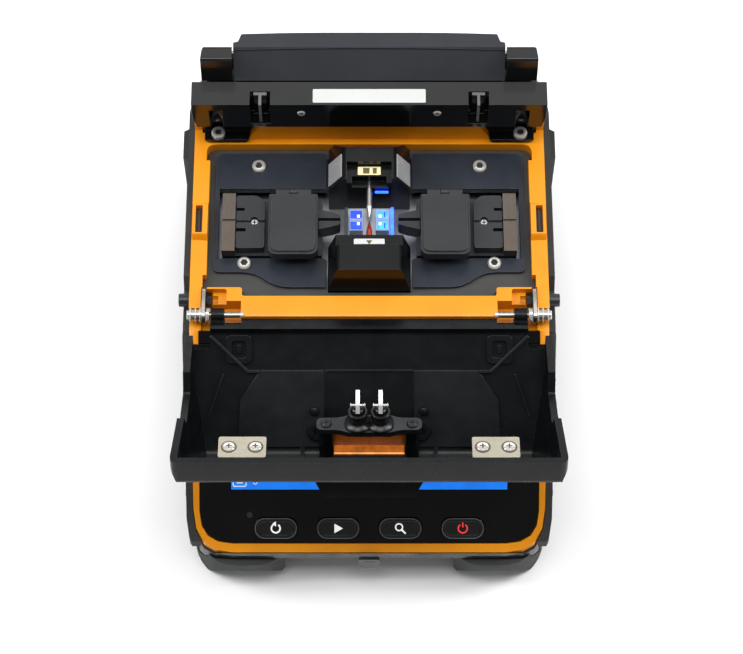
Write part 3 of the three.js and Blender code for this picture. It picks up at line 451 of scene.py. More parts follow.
def bar(start, end, width, low, high):
    """A straight rib between two points, with square ends."""
    a, b = Vector(start), Vector(end)
    along = (b - a).normalized()
    across = Vector((-along.y, along.x)) * width / 2
    return prism([tuple(a + across), tuple(a - across), tuple(b - across), tuple(b + across)],
                 low, high)


def ring(outer, inner, low, high):
    """A frame between two outlines of the same number of points."""
    n = len(outer)
    points = [(x, y, z) for z in (low, high) for line in (outer, inner) for x, y in line]
    faces = []
    for i in range(n):
        j = (i + 1) % n
        faces += [(i, j, 2 * n + j, 2 * n + i), (n + i, 3 * n + i, 3 * n + j, n + j),
                  (i, n + i, n + j, j), (2 * n + i, 2 * n + j, 3 * n + j, 3 * n + i)]
    return points, faces


def lathe(profile):
    """A turned solid about Z. The profile's (radius, height) points run round it."""
    points, faces, rings = [], [], []
    for radius, height in profile:
        if radius < 1e-6:
            rings.append([len(points)] * TURNED_SIDES)
            points.append((0, 0, height))
            continue
        rings.append(list(range(len(points), len(points) + TURNED_SIDES)))
        points += [
            (radius * math.cos(a), radius * math.sin(a), height)
            for a in (2 * math.pi * i / TURNED_SIDES for i in range(TURNED_SIDES))
        ]
    closed = profile[0][0] > 1e-6
    pairs = list(zip(rings, rings[1:])) + ([(rings[-1], rings[0])] if closed else [])
    for lower, upper in pairs:
        for i in range(TURNED_SIDES):
            j = (i + 1) % TURNED_SIDES
            face = list(dict.fromkeys((lower[i], lower[j], upper[j], upper[i])))
            if len(face) > 2:
                faces.append(tuple(face))
    return points, faces


def washer(inner, outer, low, high):
    edge = min(0.12, (high - low) / 3)
    return lathe([(inner, low), (outer - edge, low), (outer, low + edge), (outer, high - edge),
                  (outer - edge, high), (inner, high)])


def tube(route, radius, sides):
    """A round bar along a route, with flat ends."""
    route = [Vector(p) for p in route]
    points, faces = [], []
    side = (route[1] - route[0]).normalized().orthogonal().normalized()
    for i, spot in enumerate(route):
        ahead = (route[min(i + 1, len(route) - 1)] - route[max(i - 1, 0)]).normalized()
        side = (side - ahead * side.dot(ahead)).normalized()
        other = ahead.cross(side)
        points += [
            tuple(spot + radius * (math.cos(a) * side + math.sin(a) * other))
            for a in (2 * math.pi * k / sides for k in range(sides))
        ]
    for i in range(len(route) - 1):
        for k in range(sides):
            m = (k + 1) % sides
            faces.append((i * sides + k, i * sides + m, (i + 1) * sides + m, (i + 1) * sides + k))
    faces.append(tuple(reversed(range(sides))))
    faces.append(tuple(range((len(route) - 1) * sides, len(route) * sides)))
    return points, faces


def coil(radius, wire, turns, length):
    """A coil spring about Z."""
    count = int(turns * COIL_STEPS)
    route = []
    for i in range(count + 1):
        a = 2 * math.pi * turns * i / count
        route.append((radius * math.cos(a), radius * math.sin(a), length * i / count))
    return tube(route, wire, 8)


def hexagon_reach(angle, size):
    """Distance from the middle to a hexagon's edge, size across its flats."""
    return size / 2 / math.cos((angle % (math.pi / 3)) - math.pi / 6)


def cross_reach(angle, size):
    """Distance from the middle to a cross recess's edge."""
    c, s = abs(math.cos(angle)), abs(math.sin(angle))
    arm, half = size / 2, size * 0.13
    along = min(arm / max(c, 1e-9), half / max(s, 1e-9))
    across = min(arm / max(s, 1e-9), half / max(c, 1e-9))
    return max(along, across)


def around(reach, turn=0.0):
    """Points round a closed line whose distance from the middle depends on the angle."""
    angles = [2 * math.pi * i / SCREW_SIDES + turn for i in range(SCREW_SIDES)]
    return [(reach(a) * math.cos(a), reach(a) * math.sin(a)) for a in angles]


def screw_head(radius, height, reach, size, depth, edge, dome=0.0):
    """A screw head on Z = 0, with a recess of a hexagon or a cross in its top."""
    def circle(r, z):
        return [(x, y, z) for x, y in around(lambda angle: r)]

    def recess(shrink, z):
        line = around(lambda angle: reach(angle, size) * shrink, RECESS_TURN)
        return [(x, y, z) for x, y in line]

    rings = [
        circle(radius, 0), circle(radius, height - edge), circle(radius - edge, height),
        circle(size * 0.62, height + dome), recess(1, height + dome), recess(0.9, height - depth),
    ]
    faces = [tuple(reversed(range(SCREW_SIDES)))]
    for start in range(0, (len(rings) - 1) * SCREW_SIDES, SCREW_SIDES):
        for i in range(SCREW_SIDES):
            j = (i + 1) % SCREW_SIDES
            faces.append((start + i, start + j, start + SCREW_SIDES + j, start + SCREW_SIDES + i))
    last = (len(rings) - 1) * SCREW_SIDES
    faces.append(tuple(range(last, last + SCREW_SIDES)))
    return [p for line in rings for p in line], faces


def screw(radius, height, reach, size, depth, edge, dome=0.0):
    """A screw head, and in the second material a dark piece of painted shade at the bottom of its recess."""
    floor = height - depth
    outline = around(lambda angle: reach(angle, size) * 0.86, RECESS_TURN)
    shade_plug = prism(outline, floor - 0.1, floor + depth * 0.45)
    return [tagged(screw_head(radius, height, reach, size, depth, edge, dome), 0), tagged(shade_plug, 1)]


def tagged(part, material):
    """A part that names its material by its place in the piece's list."""
    return (*part, material)


def shifted(part, x=0.0, y=0.0, z=0.0, turn=None):
    matrix = Matrix.Translation((x, y, z)) @ (turn.to_4x4() if turn else Matrix.Identity(4))
    points, faces, *rest = part
    return [tuple(matrix @ Vector(p)) for p in points], faces, *rest


def round_edges(thing, width, segments, limit):
    """Rounds by width millimetres the edges that are sharper than limit degrees."""
    soften = thing.modifiers.new("round", "BEVEL")
    soften.width = width * MM
    soften.segments = segments
    soften.limit_method = "ANGLE"
    soften.angle_limit = math.radians(limit)
    soften.harden_normals = True


def piece(name, parts, place, body, slot, *materials, bevel=0.0):
    """A mesh object made of closed parts, in the row frame. A part may name its material."""
    points, faces, choice = [], [], []
    for part in parts:
        offset = len(points)
        points += part[0]
        faces += [tuple(i + offset for i in face) for face in part[1]]
        choice += [part[2] if len(part) > 2 else 0] * len(part[1])
    mesh = bpy.data.meshes.new(name)
    mesh.from_pydata([tuple(place @ Vector(p)) for p in points], [], faces)
    for material in materials or (LOOK[slot],):
        mesh.materials.append(material)
    mesh.polygons.foreach_set("material_index", choice)
    work = bmesh.new()
    work.from_mesh(mesh)
    bmesh.ops.recalc_face_normals(work, faces=work.faces)
    work.to_mesh(mesh)
    work.free()
    mesh.shade_smooth()
    mesh.set_sharp_from_angle(angle=SMOOTH_ANGLE)
    made = bpy.data.objects.new(name, mesh)
    SCENE.collection.objects.link(made)
    if bevel:
        round_edges(made, bevel, 3, 35)
    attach(made, body)
    return made


# ------------------------------------------------------------------ carried-over CAD nodes
def smoothing_group():
    """A node group that shades smooth except across edges sharper than SMOOTH_ANGLE."""
    group = bpy.data.node_groups.new("smooth_flats", "GeometryNodeTree")
    group.interface.new_socket("Geometry", in_out="INPUT", socket_type="NodeSocketGeometry")
    group.interface.new_socket("Geometry", in_out="OUTPUT", socket_type="NodeSocketGeometry")
    start = group.nodes.new("NodeGroupInput")
    end = group.nodes.new("NodeGroupOutput")
    all_smooth = group.nodes.new("GeometryNodeSetShadeSmooth")
    sharp = group.nodes.new("GeometryNodeSetShadeSmooth")
    sharp.domain = "EDGE"
    sharp.inputs["Shade Smooth"].default_value = False
    bend = group.nodes.new("GeometryNodeInputMeshEdgeAngle")
    test = group.nodes.new("FunctionNodeCompare")
    test.operation = "GREATER_THAN"
    test.inputs[1].default_value = SMOOTH_ANGLE
    for source, target in (
        (start.outputs[0], all_smooth.inputs["Geometry"]),
        (all_smooth.outputs[0], sharp.inputs["Geometry"]),
        (bend.outputs["Unsigned Angle"], test.inputs[0]),
        (test.outputs[0], sharp.inputs["Selection"]),
        (sharp.outputs[0], end.inputs[0]),
    ):
        group.links.new(source, target)
    return group


SOFT_EDGE = {"main_housing": 0.5, "base_tray": 0.6, "wind_cover": 0.45, "heater_housing": 0.4,
             "side_guard_left": 0.7, "side_guard_right": 0.7, "front_bumper_left": 0.9,
             "front_bumper_right": 0.9, "heater_lid": 0.35, "heater_clamp_left": 0.4,
             "heater_clamp_right": 0.4, "sheath_clamp_left": 0.35, "sheath_clamp_right": 0.35,
             "arc_block_rear": 0.35, "arc_block_front": 0.35}
FINE_EDGE = 0.16
NODE_LOOK = {"catch_plate_left": SATIN_NICKEL, "catch_plate_right": SATIN_NICKEL,
             "fiber_guide_left": GUIDE_STEEL, "fiber_guide_right": GUIDE_STEEL,
             "v_groove_left": GROOVE_GLASS, "v_groove_right": GROOVE_GLASS,
             "electrode_front": HOT_TUNGSTEN, "heater_clamp_left": OVEN_GLOSS,
             "heater_clamp_right": OVEN_GLOSS, "heater_housing": OVEN_GLOSS}


def dress_nodes():
    """Gives each CAD node its material, smooth shading on its curves and rounded edges."""
    group = smoothing_group()
    slots = {part["node"]: part["material_slot"] for part in frame["record"]["subparts"]}
    for name, node in frame["nodes"].items():
        node.data.materials.clear()
        node.data.materials.append(NODE_LOOK.get(name, LOOK[slots[name]]))
        weld = node.modifiers.new("weld", "WELD")
        weld.merge_threshold = 2e-6
        flat = node.modifiers.new("flat", "DECIMATE")
        flat.decimate_type = "DISSOLVE"
        flat.angle_limit = math.radians(0.4)
        smooth = node.modifiers.new("smooth", "NODES")
        smooth.node_group = group
        round_edges(node, SOFT_EDGE.get(name, FINE_EDGE), 2, 34)


# ------------------------------------------------------------------ deck
# A place here and below is in millimetres: x from the middle, y from the cover's hinge and z from
# the table. The x of a place that is made on both sides is the right one's.
STAGE_SCREW = (46.1, 41.0, 78.0)
GROOVE_Y = 40.4
LAMP_STRIP_X = 9.2
LAMP_STRIP_DROP = 1.2
ARC_LAMP = (0, 53.3, 82.2)
CHEEK_FACE = (0, 65.5, 0)
CHEEK_DEPTH = 10.5
GOLD_PLATE = (0, 59.35, 88.4)
WHITE_PLATE = (0, 27.4, 87.4)
EXIT_SLOT = (68.3, 41.3, 76.5)


def deck_screws():
    """Socket screws with a ring of painted shade round each head, in place of the CAD's."""
    for corner in ("front_left", "front_right", "rear_left", "rear_right"):
        low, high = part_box("deck_screw_" + corner)
        spot = Vector(((low.x + high.x) / 2, (low.y + high.y) / 2, low.z))
        height = (high.z - low.z) / MM
        radius = (high.x - low.x) / 2 / MM
        head = screw(radius, height, hexagon_reach, 2.7, 1.5, edge=0.55, dome=0.1)
        # A dark ring of painted shade round the head.
        shade_ring = tagged(washer(radius + 0.1, radius + 0.9, 0.9, 1.45), 1)
        made = piece("deck_screw_head_" + corner, [*head, shade_ring], at(spot), "body", "steel",
                     STEEL_PAINTED_BRIGHT, PAINTED_SHADE_BLACK)
        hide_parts("deck_screw_" + corner)


def exit_slots():
    """Dark pieces of painted shade in the slots of the two fiber exits."""
    for name, side in SIDES:
        parts = [prism(rounded(2.7, 12.0, 0.5), 0, 2.6), prism(rounded(1.1, 9.6, 0.3), 2.5, 3.3)]
        piece("exit_slot_" + name, parts, at(from_hinge(EXIT_SLOT, side)), "body", "black_shell",
              SLOT_PAINTED_SHADE, bevel=0.15)


def stage_screws():
    for name, side in SIDES:
        head = screw(1.6, 1.0, cross_reach, 1.9, 0.7, edge=0.3, dome=0.1)
        # A dark ring of painted shade round the head.
        shade_ring = tagged(washer(1.7, 2.5, 0.0, 0.45), 1)
        piece("stage_screw_" + name, [*head, shade_ring], at(from_hinge(STAGE_SCREW, side)),
              "stage_" + name, "steel", STEEL_PAINTED_BRIGHT, PAINTED_SHADE_BLACK)


def groove_lights():
    """The groove faces covered with painted light, painted glints and painted strips of light, and the lamp strips
    that light them from the arc blocks.
    """
    for name, side in SIDES:
        low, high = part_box("v_groove_" + name)
        center = Vector(((low.x + high.x) / 2, HINGE.y + GROOVE_Y * MM, high.z))
        half = (high.x - low.x) / 2 / MM - 0.35
        parts = []
        for y in (-1, 1):
            # A sheet of painted light over the face, a painted white glint and a painted strip of light.
            parts.append(prism(rounded(2 * half, 3.6, 0.3, 0, y * 2.5), 0.02, 0.14))
            parts.append(tagged(prism(rounded(1.1, 1.3, 0.2, side * -0.9, y * 1.7), 0.1, 0.22), 1))
            parts.append(tagged(prism(rounded(0.5, 2.4, 0.2, side * 0.9, y * 2.5), 0.1, 0.2), 2))
        # The right groove gets the stronger painted light and the left the weaker one: lit and shaded copies.
        painted_glow = GROOVE_PAINTED_BRIGHT if side > 0 else GROOVE_PAINTED_BLUE
        piece("groove_face_" + name, parts, at(center), "body", "ceramic", painted_glow, WHITE_GLOW,
              GROOVE_PAINTED_BLUE, bevel=0.04)
        wall = Vector((side * LAMP_STRIP_X * MM, center.y, high.z - LAMP_STRIP_DROP * MM))
        piece("lamp_strip_" + name, [prism(rounded(1.3, 12.5, 0.4), -0.9, 0.5)], at(wall), "body",
              "ceramic", BLUE_LIGHT if side > 0 else SCREEN_NIGHT, bevel=0.1)
    piece("arc_lamp", [prism(rounded(5.5, 1.4, 0.5, 5), 0, 0.5)],
          at(from_hinge(ARC_LAMP), FACE_FRONT), "body", "ceramic", BLUE_LIGHT, bevel=0.15)


def arc_cheeks():
    """Pale plates on the rear arc block's sloping sides."""
    slope = [(16.1, 82.7), (10.9, 91.3), (11.35, 91.55), (16.55, 82.95)]
    for name, side in SIDES:
        piece("arc_cheek_" + name, [prism(mirrored(slope, side), 0, CHEEK_DEPTH)],
              at(from_hinge(CHEEK_FACE), FACE_FRONT), "body", "arc_black", CHEEK_GREY, bevel=0.15)


def arc_plates():
    """The small gold plate on the rear arc block and the white one on the front block."""
    gold = [prism(rounded(9.2, 3.7, 0.3), 0, 0.14),
            tagged(prism(rounded(2.6, 2.6, 0.2, -1.2), 0.13, 0.2), 1),
            tagged(prism(rounded(1.6, 2.6, 0.2, 2.2), 0.13, 0.2), 1)]
    piece("arc_plate_gold", gold, at(from_hinge(GOLD_PLATE)), "body", "arc_black", GOLD_FOIL,
          DARK_FOIL_PRINT_AND_SHADE)
    white = [prism(rounded(12.2, 3.2, 0.4), 0, 0.14),
             tagged(prism([(-1.2, 0.9), (1.2, 0.9), (0, -1)], 0.13, 0.19), 1)]
    piece("arc_plate_white", white, at(from_hinge(WHITE_PLATE)), "body", "arc_black", PAPER,
          DARK_FOIL_PRINT_AND_SHADE)


# ------------------------------------------------------------------ oven
OVEN_CLIP_TOP = (43.6, 0, 107.4)
OVEN_CLIP_FRONT = (43.6, 79.3, 0)
OVEN_LABEL = (0, 82.25, 108.4)
OVEN_SCREW = (61.5, 80.6, 81.0)
OVEN_SMALL_SCREW = (27.2, 79.1, 102.0)
SHADE_LINE_HALF_LENGTH = 53.5
SHADE_LINE_Y, SHADE_LINE_Z = 97.75, 119.55
SHADE_LINE_SAG = 0.9
SHADE_LINE_STEPS = 24
LID_SLOPE = (0.63, 0.78)


def oven_clips():
    """The T-shaped sprung clips that stand in the two slots of the oven's front edge."""
    for name, side in SIDES:
        head = [prism(rounded(5.2, 1.7, 0.3, 0, 84.0), -0.1, 0.35),
                prism(rounded(1.2, 5.0, 0.2, 0, 80.9), -0.1, 0.35)]
        piece("oven_clip_" + name, head, at(from_hinge(OVEN_CLIP_TOP, side)), "body",
              "black_shell", CLIP_GREY, bevel=0.12)
        stem = [prism(rounded(1.1, 13, 0.2, 0, 100.6), -0.1, 0.3)]
        piece("oven_clip_stem_" + name, stem, at(from_hinge(OVEN_CLIP_FRONT, side), FACE_FRONT),
              "body", "black_shell", CLIP_GREY, bevel=0.1)


def lid_shade_line():
    """A dark curved line of painted shade in the crease under the oven lid's ridge."""
    down, inward = LID_SLOPE[1], LID_SLOPE[0]
    route = []
    for i in range(SHADE_LINE_STEPS + 1):
        x = -SHADE_LINE_HALF_LENGTH + 2 * SHADE_LINE_HALF_LENGTH * i / SHADE_LINE_STEPS
        sag = SHADE_LINE_SAG * (x / SHADE_LINE_HALF_LENGTH) ** 2
        route.append((x, SHADE_LINE_Y - sag * inward, SHADE_LINE_Z - sag * down))
    piece("oven_lid_shade_line", [tube(route, 0.3, 8)], at(from_hinge((0, 0, 0))), "heater_lid",
          "lid_grey", PAINTED_SHADE_BLACK)


def oven_details():
    piece("oven_label", [prism(rounded(45, 6.3, 0.5), 0, 0.16)], at(from_hinge(OVEN_LABEL)),
          "body", "black_shell", PAPER, bevel=0.05)
    for name, side in SIDES:
        head = screw(2.8, 2.6, hexagon_reach, 2.8, 1.5, edge=0.5, dome=0.1)
        # A dark ring of painted shade round the head.
        shade_ring = tagged(washer(2.9, 3.05, 0, 0.5), 1)
        piece("oven_screw_" + name, [*head, shade_ring], at(from_hinge(OVEN_SCREW, side)), "body",
              "steel", STEEL_PAINTED_BRIGHT, PAINTED_SHADE_BLACK)
        small = screw(1.65, 1.35, cross_reach, 2.1, 0.8, edge=0.35, dome=0.12)
        piece("oven_small_screw_" + name, small,
              at(from_hinge(OVEN_SMALL_SCREW, side), FACE_FRONT), "body", "steel", STEEL_PAINTED_BRIGHT,
              PAINTED_SHADE_BLACK)


# ------------------------------------------------------------------ cover hinge
HINGE_BOLT = (0, 8.0, 75.0)


def hinge_details():
    """Washers, a spring and an end cap on the hinge's axle, and a washer under each bolt."""
    for name, side in SIDES:
        outward = FACE_RIGHT if side > 0 else FACE_LEFT
        axle = Vector((0, HINGE.y, HINGE.z))
        parts = [washer(2.35, 3.0, 66.3, 66.9), washer(2.35, 2.9, 68.2, 68.8),
                 washer(2.35, 3.0, 70.2, 70.8),
                 shifted(coil(2.5, 0.33, 3, 1.6), z=62.9),
                 shifted(screw_head(1.9, 0.7, cross_reach, 1.8, 0.5, edge=0.25), z=71.3),
                 lathe([(0, 49.4), (0.8, 49.4), (1.15, 49.7), (1.15, 51.2), (0, 51.2)])]
        piece("hinge_rings_" + name, parts, at(axle, outward), "body", "steel", STEEL_PAINTED_BRIGHT)
        piece("bolt_washer_" + name, [washer(2.0, 3.4, 71.0, 71.7)],
              at(from_hinge(HINGE_BOLT), outward), "body", "dark_steel", bevel=0.05)


# ------------------------------------------------------------------ inside of the cover
# The cover's front wall from inside: Z stands out of it, Y runs to the rim and X is mirrored.
WALL_RISE, WALL_RUN = 37.1, 30.3
WALL = (COVER @ Matrix.Translation((0, 6.7, 3.6))
        @ Matrix.Rotation(math.atan2(WALL_RISE, WALL_RUN), 4, "X")
        @ Matrix.Rotation(math.pi, 4, "Y"))
BURIED = -0.3  # how far a moulding reaches into the wall
CATCH_SCREWS_X = (42.6, 52.6)
CATCH_SCREWS_Y, CATCH_SCREWS_Z = 69, 1.3
BRACKET_SCREW_X, BRACKET_Z = 16.7, 19.5
PRESSER_X, PRESSER_Y = 4.4, 40.4
CROSS_PIN_Z = 9


def cover_moulding():
    """Pads, latch bosses, gussets and lugs on each half of the wall."""
    for name, side in SIDES:
        pad = [(17.6, 14.3), (43, 14.3), (51, 26), (52.3, 45.2), (17.6, 45.2)]
        piece("cover_pad_" + name, [prism(mirrored(pad, side), BURIED, 1.5)], WALL, "wind_cover",
              "cover_black", COVER_GREY, bevel=0.5)
        boss = [ring(rounded(10.5, 11.5, 2.2, side * 51.3, 6.2),
                     rounded(5.4, 6.6, 1.4, side * 51.3, 6.2), BURIED, 1.9),
                prism(rounded(2.2, 3.6, 0.8, side * 51.3, 6.2), BURIED, 0.9)]
        piece("cover_boss_" + name, boss, WALL, "wind_cover", "cover_black", bevel=0.35)
        gusset = [bar((side * 62.5, 0.8), (side * 47.5, 15.2), 1.3, BURIED, 2.6),
                  bar((side * 47.8, 15), (side * 43, 15), 1.3, BURIED, 2.0),
                  bar((side * 57.5, 16), (side * 63.5, 33), 1.0, BURIED, 1.2)]
        piece("cover_gusset_" + name, gusset, WALL, "wind_cover", "cover_black", COVER_GREY,
              bevel=0.3)
        lug = lathe([(0, -0.3), (1.9, -0.3), (1.9, 1.6), (1.5, 2.3), (0.7, 2.5), (0, 2.5)])
        piece("cover_lug_" + name, [shifted(lug, side * 21.6, 30.6, 1.2)], WALL, "wind_cover",
              "cover_black")
        lobe = lathe([(0, -0.3), (3.9, -0.3), (3.9, 2.2), (3.3, 2.9), (1.6, 2.9), (1.6, 1.4),
                      (0, 1.4)])
        piece("cover_lobe_" + name, [shifted(lobe, side * 20.6, 38.6, 1.0)], WALL, "wind_cover",
              "cover_black")


def cover_channel():
    """The edges of the channel behind the pressers."""
    edge, top, bottom = 17.4, 14.7, 30
    step = [bar((-edge, top), (edge, top), 0.9, BURIED, 0.7),
            bar((-edge, top), (-edge, bottom), 0.5, BURIED, 0.9),
            bar((edge, top), (edge, bottom), 0.5, BURIED, 0.9)]
    piece("cover_channel", step, WALL, "wind_cover", "cover_black", COVER_GREY, bevel=0.2)


def cover_window():
    """A frame round the amber window, and a painted band of light with a painted highlight line in the half nearer
    the rim.
    """
    rim = ring(rounded(34, 12.6, 1.6, 0, 43.6), rounded(29.4, 9.6, 0.6, 0, 43.6), BURIED, 1.5)
    piece("window_frame", [rim], WALL, "wind_cover", "cover_black", bevel=0.3)
    painted_light = [prism(rounded(28.8, 3.6, 0.5, 0, 46.4), -1.6, 0.4),
              tagged(prism(rounded(27.8, 0.5, 0.2, 0, 47.6), 0.3, 0.5), 1)]
    piece("window_painted_light_bar", painted_light, WALL, "wind_cover", "amber_window", AMBER_PAINTED_GLOW, AMBER_PAINTED_HIGHLIGHT,
          bevel=0.15)


def catch_screws():
    for name, side in SIDES:
        heads = []
        for x in CATCH_SCREWS_X:
            head = screw(2.35, 0.6, cross_reach, 2.3, 0.45, edge=0.3, dome=0.12)
            # A dark ring of painted shade in the groove round each head.
            groove = tagged(washer(2.4, 3.0, -0.1, 0.12), 1)
            for part in (*head, groove):
                heads.append(shifted(part, side * x, CATCH_SCREWS_Y, CATCH_SCREWS_Z, FACE_DOWN))
        piece("catch_screws_" + name, heads, COVER, "wind_cover", "steel", STEEL_PAINTED_BRIGHT,
              DARK_FOIL_PRINT_AND_SHADE)


def bracket_details():
    """Two screws in the pressers' bracket, and a foot and a collar round each presser."""
    heads = []
    for x in (-BRACKET_SCREW_X, BRACKET_SCREW_X):
        for part in screw(2.1, 0.9, cross_reach, 2.2, 0.6, edge=0.4):
            heads.append(shifted(part, x, PRESSER_Y, BRACKET_Z, FACE_DOWN))
    piece("bracket_screws", heads, COVER, "wind_cover", "dark_steel", LOOK["dark_steel"],
          PAINTED_SHADE_BLACK)
    collar = [(2.95, 13.4), (3.6, 13.4), (3.9, 13.1), (3.9, 12.5), (3.6, 12.2), (2.95, 12.2)]
    foot = [(3.3, 19.6), (5.2, 19.6), (5.2, 18.6), (4.4, 17.8), (3.3, 17.4)]
    for name, side in SIDES:
        rings = [shifted(lathe(profile), side * PRESSER_X, PRESSER_Y) for profile in (collar, foot)]
        piece("presser_collar_" + name, rings, COVER, "wind_cover", "black_shell")


def pressers():
    """White blades on dark plungers, each crossed by a steel pin with a cap at each end."""
    upright = Matrix.Rotation(math.pi / 2, 3, "Y") @ Matrix.Rotation(math.pi / 2, 3, "Z")
    outline = [(35.6, 10.5), (35.4, 6.6), *arc(36.9, 6.2, 1.5, 180, 250, 4), (39.4, 4.5),
               (41.4, 4.5), *arc(42.0, 6.2, 1.6, 290, 360, 4), (43.6, 10.5)]
    for name, side in SIDES:
        x = side * PRESSER_X
        blade = shifted(prism(outline, -0.8, 0.8), x, 0, 0, upright)
        plunger = lathe([(0, 10.2), (1.9, 10.2), (2.5, 10.7), (2.5, 19), (0, 19)])
        pin = tube([(x - 2.9, PRESSER_Y, CROSS_PIN_Z), (x + 2.9, PRESSER_Y, CROSS_PIN_Z)], 0.55, 16)
        caps = [
            tagged(shifted(washer(0.3, 0.9, -0.25, 0.25), x + end * 2.7, PRESSER_Y, CROSS_PIN_Z,
                           FACE_RIGHT), 2)
            for end in (-1, 1)
        ]
        parts = [blade, tagged(shifted(plunger, x, PRESSER_Y), 1), tagged(pin, 2), *caps]
        made = piece("presser_" + name, parts, COVER, "presser_" + name, "ceramic",
                     LOOK["ceramic"], LOOK["black_shell"], STEEL_PAINTED_BRIGHT, bevel=0.12)
        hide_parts("fiber_presser_" + name)


# ------------------------------------------------------------------ front panel
SCREEN_BOTTOM, SCREEN_TOP = -21.0, 40.8
SCREEN_WIDTH = 110
PICTURE_X, PICTURE_Y = 27.6, 9.8
ICON_X, LAMP_X = -51.6, -45.4
ICON_Y = SCREEN_BOTTOM + 2.9
BUTTON_DISH = 1.65
ICON_HEIGHT = 0.1
SENSOR_PLACE = (-47.7, -31.25, 0)
FRONT_CATCH = (0, -83.6, 25.8)


def fiber_picture(x, left, right):
    """A grey fiber with a dark band and a gold line along its middle, across part of a picture."""
    middle_x, width = x + (left + right) / 2, right - left
    return [tagged(prism(rounded(width, 9, 0.1, middle_x, PICTURE_Y), 0.03, 0.06), 2),
            tagged(prism(rounded(width, 3.2, 0.1, middle_x, PICTURE_Y), 0.05, 0.08), 1),
            tagged(prism(rounded(width, 0.8, 0.1, middle_x, PICTURE_Y), 0.07, 0.1), 4)]


def screen_picture():
    """Two camera pictures of the fibers between a top bar and a bottom bar, with no text."""
    parts = [prism(rounded(SCREEN_WIDTH, 5.6, 0.2, 0, SCREEN_BOTTOM + 2.8), 0.01, 0.05),
             prism(rounded(SCREEN_WIDTH, 5.0, 0.2, 0, SCREEN_TOP - 2.5), 0.01, 0.05)]
    for x in (-PICTURE_X, PICTURE_X):
        parts.append(tagged(prism(rounded(54, 50.4, 0.3, x, PICTURE_Y), 0.01, 0.04), 1))
        for left, right in ((-26.5, -1.2), (1.2, 26.5)):
            parts += fiber_picture(x, left, right)
    battery = ring(rounded(5.6, 3.6, 0.9, ICON_X, ICON_Y), rounded(4.8, 2.8, 0.6, ICON_X, ICON_Y),
                   0.05, 0.09)
    charge = prism(rounded(2.6, 0.9, 0.4, ICON_X, ICON_Y), 0.05, 0.09)
    lamp = ring(rounded(1.7, 1.7, 0.84, LAMP_X, ICON_Y), rounded(1.1, 1.1, 0.54, LAMP_X, ICON_Y),
                0.05, 0.09)
    parts += [tagged(battery, 3), tagged(charge, 3), tagged(lamp, 3)]
    piece("screen_picture", parts, PANEL, "body", "screen", SCREEN_AZURE, SCREEN_NIGHT,
          SCREEN_FIBER, WHITE_GLOW, SCREEN_GOLD)


def button_icons():
    """A printed sign in the dish of each button, given a painted glow, and a thin grey outline round the dish that
    is a painted highlight.
    """
    high = ICON_HEIGHT
    restart = [prism(arc_band(1.75, 0.62, 125, 415), 0, high),
               prism([(0.1, 2.9), (0.1, 0.75), (-1.4, 1.85)], 0, high)]
    play = [prism([(-1.5, 1.9), (-1.5, -1.9), (1.9, 0)], 0, high)]
    zoom = [shifted(ring(rounded(3.3, 3.3, 1.64), rounded(2.2, 2.2, 1.09), 0, high), -0.5, 0.5),
            bar((0.45, -0.45), (2.1, -2.1), 0.7, 0, high)]
    power = [prism(arc_band(1.8, 0.5, 125, 415), 0, high),
             prism(rounded(0.5, 2.0, 0.2, 0, 1.4), 0, high)]
    outline = ring(rounded(16.7, 8.2, 4.08, steps=12), rounded(16.1, 7.6, 3.78, steps=12),
                   0.28, 0.36)
    for name, sign in (("reset", restart), ("start", play), ("zoom", zoom), ("power", power)):
        node = name + "_button"
        place = scaled(Matrix.Translation(middle(node) - PRESS * BUTTON_DISH * MM)
                       @ Matrix.Rotation(TILT, 4, "X"))
        look = PRINT_RED_GLOW if name == "power" else WHITE_GLOW
        piece("icon_" + name, sign, place, node, "button_cap", look)
        piece("outline_" + name, [outline], place, node, "button_cap", OUTLINE_PAINTED_HIGHLIGHT)


def panel_details():
    """The light sensor in the panel, and the catch under its front edge."""
    eye = lathe([(0, 0.0), (1.2, 0.0), (1.2, 0.06), (0.9, 0.1), (0.6, 0.04), (0, 0.04)])
    piece("light_sensor", [eye], PANEL @ Matrix.Translation(SENSOR_PLACE), "body", "gloss_panel",
          SENSOR_GREY)
    catch = [prism(rounded(8.4, 9.6, 1.2), 0, 1.4), prism(rounded(5.2, 5.6, 0.8), 1.3, 1.5)]
    piece("front_catch", catch, at(from_hinge(FRONT_CATCH), FACE_FRONT), "body", "black_shell",
          bevel=0.3)


# ------------------------------------------------------------------ sides, back and underside
GUARD_SIDE = 74.2  # outer face of the side guards
RIB_ROWS, RIB_LOWEST, RIB_PITCH = 4, 16, 11
RIB_FRONT, RIB_BACK, RIB_STEP = -52, 66, 12
CASE_BACK = 104.0  # rear face of the housing
BATTERY_BACK = 103.7  # rear face of the battery
REAR_SCREWS = (55, 82.5)  # x and z
JACK = (-18.5, 65)
RATING_PLATE_Z = 52.2
VENT_FIRST_X, VENT_PITCH, VENT_COUNT = 18.3, 4, 8
VENT_LOW, VENT_HIGH = 58, 78
TRAY_BOTTOM = 4.0


def guard_ribs():
    """Four ribs along each side guard, each starting further back than the one below it."""
    for name, side in SIDES:
        place = at(from_hinge((GUARD_SIDE, 0, 0), side), FACE_RIGHT if side > 0 else FACE_LEFT)
        ribs = []
        for row in range(RIB_ROWS):
            start = RIB_FRONT + row * RIB_STEP
            low = RIB_LOWEST + row * RIB_PITCH
            outline = rounded(3.2, RIB_BACK - start, 1.5, -side * low, (start + RIB_BACK) / 2)
            ribs.append(prism(outline, -0.4, 0.75))
        piece("guard_ribs_" + name, ribs, place, "body", "rubber", bevel=0.35)


